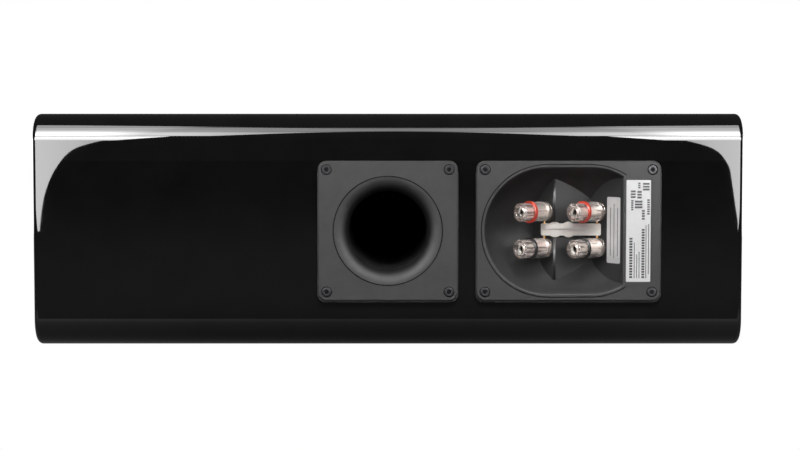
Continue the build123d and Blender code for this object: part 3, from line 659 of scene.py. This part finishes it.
def spun_metal(name, colour):
    """Anodised aluminium spun to a cone: rings 0.7 mm apart round each driver's own centre, read
    from the distance in millimetres that the piece's UV map carries."""
    material, tree, shader, place = start_finish(name, Metallic=1.0, Anisotropic=0.4)
    mottle(tree, shader, place, colour, 0.92, 1.08, 20 * MM, (0.3, 0.42))
    radial = add(tree, "ShaderNodeUVMap", uv_map="Spun")
    rings = add(
        tree,
        "ShaderNodeTexWave",
        {"Scale": 0.05 / 0.7 * 2 * np.pi, "Distortion": 0.6, "Detail": 2.0},
        {"Vector": radial},
        wave_type="BANDS",
        bands_direction="X",
    )
    add(
        tree,
        "ShaderNodeBump",
        {"Strength": 0.12, "Distance": 0.05 * MM},
        {"Height": rings.outputs["Fac"]},
        shader.inputs["Normal"],
    )
    return material


def fibrous(name, colour, strand, depth):
    """Pressed or loose fibres: matt, with light and dark strands."""
    material, tree, shader, place = start_finish(name)
    mottle(tree, shader, place, colour, 0.7, 1.25, 5 * strand, (0.85, 0.95))
    strands = add(
        tree, "ShaderNodeTexVoronoi", {"Scale": 1 / strand}, {"Vector": place}, feature="F1"
    )
    add(
        tree,
        "ShaderNodeBump",
        {"Strength": 0.6, "Distance": depth},
        {"Height": strands},
        shader.inputs["Normal"],
    )
    return material


def label_stock(name, colour, metallic=0.0):
    """Coated label stock: nearly flat, with a faint tooth."""
    material, tree, shader, place = start_finish(name, Metallic=metallic)
    mottle(tree, shader, place, colour, 0.97, 1.03, 4 * MM, (0.35, 0.5))
    return material


def finish_makers():
    """Maker of each slot's material, with its own colour and figures."""
    hue = bpy.context.scene.speaker_colours
    return {
        "gloss_lacquer": (polished_lacquer, "polished_black_lacquer", hue.lacquer),
        "textured_plastic": (grained_plastic, "grained_abs", hue.moulding),
        # Painted highlight: the crest bead is the moulding at 1.2 times its tone, with more shine.
        "bead_plastic_painted_highlight": (grained_plastic, "worn_abs", shade(hue.moulding, 1.2), (0.3, 0.4), 0.4),
        # Painted shade: the port flare darkens to 0.12 of its tone into the bore.
        "flare_plastic_painted_shade": (
            plastic_with_painted_hollow_shade,
            "grained_abs_flare",
            hue.moulding,
            MIDDLE,
            (1.0, 0.0, 1.0),
            (PORT_BORE + 1.5 * MM, PORT_BORE + 6.5 * MM),
            (0.12, 1.0),
        ),
        # Painted shade: the dish darkens to 0.62 of its tone below the plate's face.
        "dish_plastic_painted_shade": (
            plastic_with_painted_hollow_shade,
            "grained_abs_dish",
            hue.moulding,
            (DISH_X, FACE_Y, MIDDLE[2]),
            (0.0, 1.0, 0.0),
            (1.0 * MM, 3.5 * MM),
            (1.0, 0.62),
        ),
        # Dark plastic of the port tube, also used for the painted shadow sheets in screw recesses and
        # grooves.
        "tube_plastic": (grained_plastic, "tube_abs", linear("#181818"), (0.5, 0.6), 0.03),
        "black_screw": (turned_metal, "black_oxide_steel", linear("#3a3a3c"), (0.3, 0.42)),
        "clear_plastic": (clear_plastic, "clear_polycarbonate", hue.grip),
        "red_plastic": (gloss_plastic, "red_polycarbonate", hue.ring_red),
        "black_plastic": (gloss_plastic, "black_polycarbonate", hue.ring_black),
        "nickel": (turned_metal, "nickel_plated_brass", hue.nickel),
        # Painted shade: the studs are nickel at 0.16 of its colour, so that their holes read dark.
        "stud_nickel_painted_shade": (turned_metal, "nickel_plated_stud", shade(hue.nickel, 0.16)),
        "splined_nickel_painted_shade": (splined_metal_painted_shade, "nickel_plated_insert", hue.nickel),
        "gold": (turned_metal, "gold_plated_wire", hue.gold, (0.2, 0.32)),
        "milky_plastic": (milky_plastic, "natural_polythene", hue.holder),
        "gasket_foam": (fibrous, "closed_cell_foam", linear("#171717"), 0.6 * MM, 0.15 * MM),
        "raw_board": (fibrous, "raw_fibreboard", linear("#a68a63"), 0.5 * MM, 0.06 * MM),
        "wadding": (fibrous, "polyester_wadding", linear("#e4e4e0"), 1.6 * MM, 1.2 * MM),
        "basket_metal": (grained_plastic, "powder_coated_casting", linear("#262627")),
        "cone_metal": (spun_metal, "anodised_spun_aluminium", hue.cone),
        "surround_rubber": (grained_plastic, "butyl_rubber", linear("#161616"), (0.5, 0.62)),
        "spider_cloth": (fibrous, "resin_dipped_cloth", linear("#b98f4a"), 0.9 * MM, 0.2 * MM),
        "copper_coil": (turned_metal, "enamelled_copper", linear("#b5683c")),
        "steel": (turned_metal, "zinc_plated_steel", linear("#b9bab8"), (0.3, 0.42)),
        "ferrite": (grained_plastic, "sintered_ferrite", linear("#38383a"), (0.6, 0.75)),
        "faceplate_metal": (grained_plastic, "sandblasted_anodised_plate", linear("#2a2a2b")),
        "foil": (turned_metal, "folded_aluminium_foil", linear("#cfcfcd"), (0.22, 0.34)),
        "circuit_board": (gloss_plastic, "solder_masked_board", linear("#1f5b35")),
        "capacitor_film": (gloss_plastic, "film_capacitor_sleeve", linear("#2d4f8e")),
        "resistor_ceramic": (grained_plastic, "cast_ceramic", linear("#dfdcd2")),
        "paper_label": (label_stock, "coated_paper", hue.paper),
        "silver_label": (label_stock, "metallised_film", hue.silver, 0.12),
        "label_ink": (label_stock, "printing_ink", hue.ink),
    }


def finish(slot):
    """Material of a slot, made when it is first asked for."""
    maker, name, colour, *figures = finish_makers()[slot]
    return bpy.data.materials.get(name) or maker(name, colour, *figures)


# Operators


class BuildCabinet(bpy.types.Operator):
    """Lacquered cabinet and front baffle with true round edges"""

    bl_idname = "speaker.cabinet"
    bl_label = "Cabinet"

    def execute(self, context):
        size = context.scene.speaker_sizes
        shell = rounded_bar(
            "cabinet_skin", SHELL_LOW, SHELL_HIGH, size.rear_radius, size.end_radius, 1
        )
        inner = np.array([size.end_wall, 0, size.wall])
        low = SHELL_LOW + inner - (0, size.wall, 0)
        high = SHELL_HIGH - inner - (0, size.wall, 0)
        through = (SHELL_HIGH[1] - 2 * size.wall, SHELL_HIGH[1] + size.wall)
        port_radius = (PORT_HIGH[0] - PORT_LOW[0]) / 2 - PORT_MARGIN
        dish_low = (DISH_LOW[0] + DISH_MARGINS[0], through[0], MIDDLE[2] - DISH_HALF)
        dish_high = (DISH_HIGH[0] - DISH_MARGINS[1], through[1], MIDDLE[2] + DISH_HALF)
        carve(
            shell,
            block("cavity", low, high),
            drum("port_hole", 0, port_radius, *through),
            block("dish_hole", dish_low, dish_high),
        )
        settle(shell, outwards=False)
        wear(even(shell), "cabinet", "gloss_lacquer", "cabinet_shell")

        board = rounded_bar(
            "baffle_skin", BAFFLE_LOW, BAFFLE_HIGH, size.front_radius, size.end_radius, -1
        )
        front, back = BAFFLE_LOW[1] - MM, BAFFLE_HIGH[1] + MM
        cutters = []
        for node, opening in OPENINGS.items():
            low, high = limits(node)
            x = (low[0] + high[0]) / 2
            radius = (high[0] - low[0]) / 2 + SEAT_PLAY
            cutters.append(drum(f"{node}_seat", x, radius, front, BAFFLE_LOW[1] + SEAT_DEPTH))
            cutters.append(drum(f"{node}_opening", x, opening, front, back))
        carve(board, *cutters)
        settle(board, outwards=False)
        wear(even(board), "cabinet", "gloss_lacquer", "front_baffle")
        return {"FINISHED"}


class BuildRearPlates(bpy.types.Operator):
    """Port plate with its flare and tube, terminal plate with its dish, and their screws"""

    bl_idname = "speaker.rear_plates"
    bl_label = "Rear plates"

    def execute(self, context):
        edge = context.scene.speaker_sizes.soft_edge
        # The port flare and the dish carry painted shade in their hollows.
        dress("port_plate", "flare_plastic_painted_shade")
        dress("terminal_plate", "dish_plastic_painted_shade", crease=18.0)
        # Crest beads in a painted highlight colour.
        self.crest_bead("upper_crest", 1)
        self.crest_bead("lower_crest", -1)
        # Painted shadow in the port's and the rim's grooves.
        self.groove_shadow_line("port_groove_shadow", PORT_MOUTH, (0.0, 0.0), 0.0, MIDDLE[0])
        self.groove_shadow_line("rim_groove_shadow", RIM_RADIUS, RIM_ENDS, RIM_STOP, DISH_X)
        dress("port_tube", "tube_plastic")
        for node in ("port_screws", "terminal_screws"):
            dress(node, "black_screw", edge=edge / 2)
            self.screw_shadows(node)
        return {"FINISHED"}

    def crest_bead(self, name, side):
        """Low round bead along one half of the first ridge's crest, lighter than the plate as a painted
        highlight: an arc of half an ellipse carried along Z."""
        count = 17
        turn = np.linspace(0, np.pi, count)
        x = DISH_X - CREST_PLACE + CREST_WIDTH / 2 * np.cos(turn)
        y = FACE_Y - RIDGE_DEPTH + CREST_HEIGHT * np.sin(turn)
        rows = [np.full(count, MIDDLE[2] + side * end) for end in CREST_ENDS]
        points = [np.stack([x, y, z], 1) for z in rows]
        bead = settle(new_piece(name, points, quads(2, count)))
        wear(thicken(bead, BEAD_WALL), "cabinet", "bead_plastic_painted_highlight")

    def screw_shadows(self, node):
        """Painted shadow: dark sheets on the floor of each screw's hexagonal socket and of the gap
        around its head, flat rings turned about the screw's axis."""
        low, high = limits(node)
        inset = SCREW_HEAD * np.array([1.0, 0.0, 1.0])
        first, last = low + inset, high - inset
        shadow_floors = (
            ("socket", 0.0, SCREW_SOCKET, high[1] - 0.3 * MM, 6),
            ("gap", SCREW_HEAD + SCREW_SEAM, SCREW_RECESS - SCREW_SEAM, high[1] - 1.0 * MM, 48),
        )
        corners = [(x, z) for x in (first[0], last[0]) for z in (first[2], last[2])]
        for i, (x, z) in enumerate(corners):
            for name, inner, outer, y, steps in shadow_floors:
                profile = [(inner, y), (outer, y), (outer, y + SHADOW), (inner, y + SHADOW)]
                shadow = turned(f"{node}_{name}_{i}", profile, (x, 0, z), steps)
                wear(settle(shadow), "cabinet", "tube_plastic")

    def groove_shadow_line(self, name, radius, ends, stop, x):
        """Painted shadow: a dark sheet on the floor of a groove, two arcs about the ends, carried
        across the groove's width, and open where they meet the label."""
        sides = []
        for reach in (radius, radius + GROOVE_WIDTH):
            start = np.degrees(np.arccos((stop - ends[1]) / reach)) if stop else 0.0
            right, _ = arc((ends[1], 0), reach, start, 90, 32)
            left, _ = arc((ends[0], 0), reach, 90, 270, 96)
            last, _ = arc((ends[1], 0), reach, 270, 360 - start, 32)
            sides.append(np.vstack([right, left, last]))
        flat = np.array(sides)
        y = np.full(flat.shape[:2] + (1,), FACE_Y - 0.9 * GROOVE_DEPTH)
        points = np.concatenate([x - flat[..., :1], y, MIDDLE[2] + flat[..., 1:]], axis=2)
        floor = settle(new_piece(name, points, quads(*flat.shape[:2])))
        wear(thicken(floor, GROOVE_WALL), "cabinet", "tube_plastic")


class BuildLabels(bpy.types.Operator):
    """White label beside the dish and silver label on its slope, with plain printed bars"""

    bl_idname = "speaker.labels"
    bl_label = "Labels"

    def execute(self, context):
        thickness = context.scene.speaker_sizes.label_thickness
        centre = np.array([DISH_X - WHITE_LABEL_PLACE, FACE_Y - 0.4 * MM, MIDDLE[2]])
        across = np.array([-1.0, 0.0, 0.0])
        self.label("white_label", "paper_label", centre, across, thickness)
        depth = RIDGE_DEPTH + np.tan(TILT) * (RIDGE_PLACE - SILVER_LABEL_PLACE)
        centre = np.array([DISH_X - SILVER_LABEL_PLACE, FACE_Y - depth, MIDDLE[2]])
        self.label("silver_label", "silver_label", centre, SLOPE, thickness)
        return {"FINISHED"}

    def label(self, name, slot, centre, across, thickness):
        """Sheet with rows of plain bars: each bar has four corners, row by row."""
        width, height, corner = LABEL_SIZES[name]
        sheet = patch(name, centre, across, width * MM, height * MM, corner * MM, thickness)
        wear(sheet, "cabinet", slot)
        ground = centre + (thickness + INK_GAP) * np.cross(across, UP)
        flat = []
        for row, start, end, breadth in LABEL_BARS[name]:
            pitch = min(0.9 * breadth, 2.2)
            for low in np.arange(start, end - pitch / 2, pitch):
                high = low + 0.7 * pitch
                flat += [(row, low), (row + breadth, low), (row + breadth, high), (row, high)]
        u, v = (np.array(flat) - (width / 2, height / 2)).T[:, :, None] * MM
        corners = ground + u * across + v * UP
        bars = new_piece(f"{name}_bars", corners, np.arange(len(corners)).reshape(-1, 4).tolist())
        wear(thicken(bars, INK_WALL), "cabinet", "label_ink")


class BuildPosts(bpy.types.Operator):
    """Clear binding posts with their rings, cores, washers, bases and studs"""

    bl_idname = "speaker.posts"
    bl_label = "Binding posts"

    def execute(self, context):
        edge = context.scene.speaker_sizes.soft_edge
        for name in POSTS:
            knob = f"knob_{name}"
            ring = "red_plastic" if name.endswith("plus") else "black_plastic"
            dress(f"knob_shell_{name}", "clear_plastic", knob, edge=edge)
            dress(f"knob_ring_{name}", ring, knob, edge=edge)
            # Cores with painted streaks of shade and highlight.
            dress(f"knob_core_{name}", "splined_nickel_painted_shade", knob)
            dress(f"clamp_washer_{name}", "gold", f"washer_{name}", edge=edge / 2)
        dress("post_bases", "clear_plastic", edge=edge)
        # Studs in painted shade.
        dress("post_studs", "stud_nickel_painted_shade")
        return {"FINISHED"}


class BuildJumper(bpy.types.Operator):
    """Milky jumper holder and its two gold-plated wires"""

    bl_idname = "speaker.jumper"
    bl_label = "Jumper"

    def execute(self, context):
        edge = context.scene.speaker_sizes.soft_edge
        low, high = limits("jumper_holder")
        middle = (low[2] + high[2]) / 2
        half, deep = 0.6 * MM, 1.3 * MM
        holder = skin("jumper_holder")
        start = (low[0] + half, high[1] - deep, middle - half)
        end = (high[0] - half, high[1] + MM, middle + half)
        settle(carve(holder, block("holder_groove", start, end)), outwards=False)
        soften(holder, edge)
        wear(even(holder), "cabinet", "milky_plastic", "jumper_holder")
        for node in ("jumper_wire_plus", "jumper_wire_minus"):
            dress(node, "gold")
        return {"FINISHED"}


class BuildWoofers(bpy.types.Operator):
    """Baskets, half-roll surrounds, spun cones, dust caps and corrugated spiders"""

    bl_idname = "speaker.woofers"
    bl_label = "Woofers"

    def execute(self, context):
        size = context.scene.speaker_sizes
        for side in SIDES:
            dress(f"woofer_{side}_basket", "basket_metal", edge=size.soft_edge)
            self.surround(side, size)
            self.cone(side, size)
            self.dust_cap(side, size)
            self.spider(side, size)
        for node in ("woofer_screws", "tweeter_screws"):
            dress(node, "black_screw", edge=size.soft_edge / 2)
        return {"FINISHED"}

    def axis_of(self, node):
        """Point on a driver's axis at y = 0, and the corners of its node."""
        low, high = limits(node)
        return (low + high) / 2 * (1, 0, 1), low, high

    def flex(self, piece, side, centre, inner, outer):
        """Bends a ring: it follows the cone at its inner radius and the basket at its outer, with
        the weight 3 s^2 - 2 s^3 over the share s between them."""
        start, end = (tuple(centre + radius * UP) for radius in (outer, inner))
        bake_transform(piece, "cabinet", f"cone_{side}", start=start, end=end)
        _, radius = offsets(piece, centre)
        share = np.clip((outer - radius) / (outer - inner), 0, 1)
        weight = (share * share * (3 - 2 * share)).astype(np.float32)
        piece.data.attributes["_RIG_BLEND"].data.foreach_set("value", weight)

    def surround(self, side, size):
        """Half-roll: height(t) = roll * sin t between its two lips, with an even thickness."""
        node = f"woofer_{side}_surround"
        centre, low, high = self.axis_of(node)
        inner, outer, lip = 49.6 * MM, 60.4 * MM, 3.4 * MM
        edge = (high[0] - low[0]) / 2
        back = high[1]
        face = back - size.rubber
        rise = face - low[1]
        t = np.linspace(0, np.pi, 25)
        half = (outer - inner) / 2
        middle = inner + half
        top = np.stack([middle - half * np.cos(t), face - rise * np.sin(t)], 1)
        under = np.stack([middle - (half - size.rubber) * np.cos(t), back - rise * np.sin(t)], 1)
        front = np.vstack([[(inner - lip, face)], top, [(edge, face)]])
        rear = np.vstack([[(inner - lip, back)], under, [(edge, back)]])
        piece = settle(turned(f"{side}_surround", np.vstack([front, rear[::-1]]), centre), 40)
        self.flex(piece, side, centre, inner, outer)
        wear(piece, f"cone_{side}", "surround_rubber", node)

    def spun(self, piece, centre):
        """UV map whose first value is the distance from the driver's axis, in millimetres."""
        mesh = piece.data
        offset, radius = offsets(piece, centre)
        corner = np.empty(len(mesh.loops), np.int32)
        mesh.loops.foreach_get("vertex_index", corner)
        values = np.stack([radius, offset[:, 1]], 1)[corner].astype(np.float32) / MM
        mesh.uv_layers.new(name="Spun").data.foreach_set("uv", values.ravel())

    def cone(self, side, size):
        """Cone with a slight flare: y(s) runs straight from neck to rim over the share s, less a
        bulge of 0.9 mm * sin(half a turn * s)."""
        node = f"woofer_{side}_cone"
        centre, low, high = self.axis_of(node)
        rim, edge, neck = 49.6 * MM, 46.2 * MM, 17.05 * MM
        slant = 1.7 * MM
        deep = high[1] - slant
        share = np.linspace(0, 1, 24)
        bulge = 0.9 * MM * np.sin(np.pi * share)
        radius = neck + (edge - neck) * share
        y = deep + (low[1] - deep) * share - bulge
        front = np.vstack([np.stack([radius, y], 1), [(rim, low[1])]])
        rear = np.vstack([np.stack([radius, y + slant], 1), [(rim, low[1] + size.cone_wall)]])
        piece = settle(turned(f"{side}_cone", np.vstack([front, rear[::-1]]), centre), 40)
        self.spun(piece, centre)
        wear(piece, f"cone_{side}", "cone_metal", node)

    def dust_cap(self, side, size):
        """Shallow dome: y(r) = foot - height * cos(quarter turn * r / radius)."""
        node = f"woofer_{side}_dust_cap"
        centre, low, high = self.axis_of(node)
        outer = (high[0] - low[0]) / 2
        height = high[1] - low[1]
        wall = size.cone_wall
        share = np.linspace(0, 1, 20)
        fall = np.cos(share * np.pi / 2)
        front = np.stack([outer * share, high[1] - height * fall], 1)
        rear = np.stack([(outer - 2 * wall) * share, high[1] - (height - wall) * fall], 1)
        piece = settle(turned(f"{side}_dust_cap", np.vstack([front, rear[::-1]]), centre), 50)
        self.spun(piece, centre)
        wear(piece, f"cone_{side}", "cone_metal", node)

    def spider(self, side, size):
        """Corrugated disc: y(r) = face - wave * (1 + cos(turns * r)) / 2, with the wave fading to
        nothing at both edges."""
        node = f"woofer_{side}_spider"
        centre, low, high = self.axis_of(node)
        inner, outer = 17.05 * MM, (high[0] - low[0]) / 2
        flat, pitch = 3.5 * MM, 5 * MM
        radius = np.linspace(inner, outer, 97)
        fade = np.clip(np.minimum(radius - inner, outer - radius) / flat - 0.4, 0, 1)
        turns = (radius - inner) / pitch * 2 * np.pi
        wave = -size.corrugation * fade * (1 + np.cos(turns)) / 2
        front = np.stack([radius, low[1] + wave], 1)
        rear = np.stack([radius, high[1] + wave], 1)
        piece = settle(turned(f"{side}_spider", np.vstack([front, rear[::-1]]), centre, 96), 50)
        self.flex(piece, side, centre, inner + flat, outer - flat)
        wear(piece, f"cone_{side}", "spider_cloth", node)


class BuildTweeter(bpy.types.Operator):
    """Slotted faceplate and folded foil of the tweeter"""

    bl_idname = "speaker.tweeter"
    bl_label = "Tweeter"

    def execute(self, context):
        edge = context.scene.speaker_sizes.soft_edge
        dress("tweeter_faceplate", "faceplate_metal", edge=edge)
        dress("tweeter_diaphragm", "foil", crease=15.0)
        return {"FINISHED"}


class FinishInside(bpy.types.Operator):
    """Finishes of the nodes that stay as they were packed"""

    bl_idname = "speaker.inside"
    bl_label = "Inside pieces"

    def execute(self, context):
        for node, item in NODES.items():
            for material_slot in item.material_slots:
                material_slot.material = finish(SLOT_OF[node])
        return {"FINISHED"}


class BuildStage(bpy.types.Operator):
    """Pale floor, soft lights, bright wall around the camera and the camera itself"""

    bl_idname = "speaker.stage"
    bl_label = "Stage"

    def execute(self, context):
        scene = context.scene
        scene.view_settings.view_transform = "Standard"
        self.world(scene)
        self.floor()
        self.rear_wall()
        self.side_cards()
        self.table_edge()
        self.front_panels()
        rear, front = (-0.1, 0.14, 0.09), (0.0, -0.14, 0.09)
        self.light("key", (-0.15, 1.3, 1.5), rear, size=(1.8, 0.42), watts=8.0, mirrored=True)
        self.light("top", (-0.2, 1.1, 1.66), rear, size=(1.2, 0.42), watts=24.5, mirrored=False)
        self.light("front", (0.3, -1.6, 1.2), front, size=(1.4, 1.0), watts=120.0, mirrored=False)
        self.camera(scene)
        return {"FINISHED"}

    def world(self, scene):
        """White to the camera, dim to everything else."""
        world = bpy.data.worlds.new("studio")
        scene.world = world
        world.use_nodes = True
        tree = world.node_tree
        tree.nodes.clear()
        seen = add(tree, "ShaderNodeLightPath").outputs["Is Camera Ray"]
        white = add(tree, "ShaderNodeBackground", {"Color": (1, 1, 1, 1), "Strength": 1.0})
        dim = add(tree, "ShaderNodeBackground", {"Color": (1, 1, 1, 1), "Strength": 0.035})
        mix = add(tree, "ShaderNodeMixShader", links={0: seen, 1: dim, 2: white})
        add(tree, "ShaderNodeOutputWorld", links={"Surface": mix})

    def floor(self):
        """Pale floor that shows white and throws back little light."""
        reach = 6.0
        corners = [(-reach, -reach, 0), (reach, -reach, 0), (reach, reach, 0), (-reach, reach, 0)]
        floor = new_piece("floor", corners, [(0, 1, 2, 3)])
        material = bpy.data.materials.new("pale_floor")
        material.use_nodes = True
        tree = material.node_tree
        tree.nodes.clear()
        seen = add(tree, "ShaderNodeLightPath").outputs["Is Camera Ray"]
        lit = add(tree, "ShaderNodeBsdfDiffuse", {"Color": (0.07, 0.07, 0.07, 1)})
        white = add(tree, "ShaderNodeEmission", {"Color": (1, 1, 1, 1), "Strength": 1.0})
        mix = add(tree, "ShaderNodeMixShader", links={0: seen, 1: lit, 2: white})
        add(tree, "ShaderNodeOutputMaterial", links={"Surface": mix})
        floor.data.materials.append(material)

    def rear_wall(self):
        """Bright wall with a dark arch round the camera: a sheet carried straight from its inner
        edge to its outer edge, both given as x and z with their corners cut round."""
        left = [(0.567, -0.17), (0.564, -0.12), (0.561, -0.08)]
        left += [(0.5555, -0.04), (0.548, -0.016), (0.5365, 0.008)]
        right = [(-0.531, 0.012), (-0.534, -0.004), (-0.5365, -0.02)]
        right += [(-0.54, -0.045), (-0.545, -0.075), (-0.549, -0.1)]
        arch = [(0.513, 0.037), (0.48, 0.048), (0.435, 0.057), (0.4, 0.25), (0.35, 0.43)]
        arch += [(0.26, 0.68), (0.19, 0.92), (0.1, 1.15), (0.0, 1.25)]
        rim = [(1.9, z) for _, z in arch[:3]]
        rim += [(1.9, 0.4), (1.9, 0.8), (1.9, 1.6), (1.3, 4.3), (0.4, 2.6), (0.0, 1.5)]
        inner = np.array(left + arch + [(-x, z) for x, z in arch[-2::-1]] + right)
        rim += [(-x, z) for x, z in rim[-2::-1]]
        outer = np.array([(1.9, z) for _, z in left] + rim + [(-1.9, z) for _, z in right])
        for _ in range(3):
            inner, outer = rounded_off(inner), rounded_off(outer)
        share = np.linspace(0, 1, 9)[:, None, None]
        flat = inner + share * (outer - inner)
        y = np.full(flat.shape[:2] + (1,), 1.56)
        points = np.concatenate([flat[..., :1], y, flat[..., 1:] + MIDDLE[2]], axis=2)
        wall = new_piece("bright_wall", points, quads(*flat.shape[:2]))
        heights = ((-0.08, 3.6), (-0.03, 9.8), (0.2, 9.8), (0.21, 0.0), (0.66, 0.0), (0.67, 27.0))
        heights += ((1.0, 27.0), (1.3, 14.0), (1.6, 5.2), (4.0, 5.2))
        spread = ((0.0, 0.22), (0.24, 0.4), (0.34, 0.56), (0.42, 0.62), (0.5, 1.2), (0.56, 1.38))
        self.glow(wall, 2, heights, spread)

    def side_cards(self):
        """Low card on each side that closes the gap in the wall's reflection. It stays below
        what the top of the cabinet mirrors towards the front."""
        low, high = 0.164, 0.247
        for side in (-1, 1):
            corners = [(0.257, low), (0.75, low), (0.75, high), (0.205, high)]
            points = [(side * x, SHELL_HIGH[1] + 0.26, z) for x, z in corners]
            card = new_piece(f"side_card_{side + 1}", points, [(0, 1, 2, 3)])
            self.glow(card, 2, ((low, 13.5), (0.19, 24.0), (high, 27.0)))

    def table_edge(self):
        """Strip of lit table behind the cabinet, brighter away from it and towards its ends."""
        near, far = SHELL_HIGH[1] - 0.02, SHELL_HIGH[1] + 0.19
        reach = 0.5
        corners = [(-reach, near, 0), (reach, near, 0), (reach, far, 0), (-reach, far, 0)]
        strip = new_piece("table_edge", np.array(corners) + 0.5 * MM * UP, [(0, 1, 2, 3)])
        depths = ((near, 0.2), (near + 0.05, 0.26), (far, 0.5))
        self.glow(strip, 1, depths, ((0.0, 0.6), (0.15, 0.7), (0.3, 1.0)))

    def front_panels(self):
        """Low panel on each side in front of the drivers, under what the top mirrors."""
        low, high = 0.01, 0.18
        for side in (-1, 1):
            near, far = side * 0.12, side * 1.5
            corners = [(near, -1.1, low), (far, -0.7, low), (far, -0.7, high), (near, -1.1, high)]
            panel = new_piece(f"front_panel_{side + 1}", corners, [(0, 1, 2, 3)])
            self.glow(panel, 2, ((low, 3.0), (high, 6.0)))

    def glow(self, panel, axis, levels, spread=((0.0, 1.0), (1.0, 1.0))):
        """Makes a panel shine in reflections only. Its strength runs through the levels along
        one axis, times the spread by the distance from the middle along X."""
        material = bpy.data.materials.new(f"{panel.name}_glow")
        material.use_nodes = True
        tree = material.node_tree
        tree.nodes.clear()
        place = add(tree, "ShaderNodeTexCoord").outputs["Object"]
        split = add(tree, "ShaderNodeSeparateXYZ", links={"Vector": place})
        away = add(tree, "ShaderNodeMath", links={0: split.outputs[0]}, operation="ABSOLUTE")
        shares = []
        strength = 1.0
        for source, steps in ((split.outputs[axis], levels), (away, spread)):
            low, high = steps[0][0], steps[-1][0]
            top = max(value for _, value in steps)
            ends = {"From Min": low, "From Max": high}
            share = add(tree, "ShaderNodeMapRange", ends, {"Value": source})
            curve = add(tree, "ShaderNodeFloatCurve", links={"Value": share})
            points = curve.mapping.curves[0].points
            while len(points) < len(steps):
                points.new(0.5, 0.5)
            for point, (at, value) in zip(points, steps):
                point.location = ((at - low) / (high - low), value / top)
                point.handle_type = "VECTOR"
            curve.mapping.update()
            shares.append(curve)
            strength *= top
        product = add(tree, "ShaderNodeMath", links=dict(enumerate(shares)), operation="MULTIPLY")
        total = add(tree, "ShaderNodeMath", {1: strength}, {0: product}, operation="MULTIPLY")
        light = add(tree, "ShaderNodeEmission", {"Color": (1, 1, 1, 1)}, {"Strength": total})
        add(tree, "ShaderNodeOutputMaterial", links={"Surface": light})
        panel.data.materials.append(material)
        panel.visible_camera = False
        panel.visible_diffuse = False
        panel.visible_shadow = False

    def light(self, name, place, target, size, watts, mirrored):
        """Soft box at a place that faces a target, seen in reflections if it is mirrored."""
        lamp = bpy.data.lights.new(name, "AREA")
        lamp.shape = "RECTANGLE"
        lamp.size, lamp.size_y = size
        lamp.energy = watts
        item = bpy.data.objects.new(name, lamp)
        item.location = place
        aim = Vector(target) - Vector(place)
        item.rotation_euler = aim.to_track_quat("-Z", "Y").to_euler()
        item.visible_glossy = mirrored
        bpy.context.scene.collection.objects.link(item)

    def camera(self, scene):
        """Camera behind the speaker, level with its top, looking slightly down."""
        camera = bpy.data.cameras.new("camera")
        camera.lens = 80.1
        camera.sensor_width = 36.0
        camera.clip_start = 0.01
        item = bpy.data.objects.new("camera", camera)
        item.location = (-0.0096, 1.5425, 0.182)
        aim = Vector((-0.0096, 0.1425, 0.0965)) - item.location
        item.rotation_euler = aim.to_track_quat("-Z", "Y").to_euler()
        scene.collection.objects.link(item)
        scene.camera = item


OPERATORS = (
    BuildCabinet,
    BuildRearPlates,
    BuildLabels,
    BuildPosts,
    BuildJumper,
    BuildWoofers,
    BuildTweeter,
    FinishInside,
    BuildStage,
)


class SpeakerPanel(bpy.types.Panel):
    """Lists the speaker's operators, sizes and colours"""

    bl_idname = "VIEW3D_PT_speaker"
    bl_label = "Center Channel Speaker"
    bl_space_type = "VIEW_3D"
    bl_region_type = "UI"
    bl_category = "Speaker"

    def draw(self, context):
        for operator in OPERATORS:
            self.layout.operator(operator.bl_idname)
        for group in (context.scene.speaker_sizes, context.scene.speaker_colours):
            for name in group.bl_rna.properties.keys():
                if name not in ("rna_type", "name"):
                    self.layout.prop(group, name)


CLASSES = (SpeakerSizes, SpeakerColours, *OPERATORS, SpeakerPanel)


def register():
    for item in CLASSES:
        bpy.utils.register_class(item)
    bpy.types.Scene.speaker_sizes = bpy.props.PointerProperty(type=SpeakerSizes)
    bpy.types.Scene.speaker_colours = bpy.props.PointerProperty(type=SpeakerColours)


def unregister():
    del bpy.types.Scene.speaker_colours
    del bpy.types.Scene.speaker_sizes
    for item in reversed(CLASSES):
        bpy.utils.unregister_class(item)


def main():
    """Builds the whole scene."""
    register()
    bpy.ops.speaker.cabinet()
    bpy.ops.speaker.rear_plates()
    bpy.ops.speaker.labels()
    bpy.ops.speaker.posts()
    bpy.ops.speaker.jumper()
    bpy.ops.speaker.woofers()
    bpy.ops.speaker.tweeter()
    bpy.ops.speaker.inside()
    bpy.ops.speaker.stage()


if __name__ == "__main__":
    main()
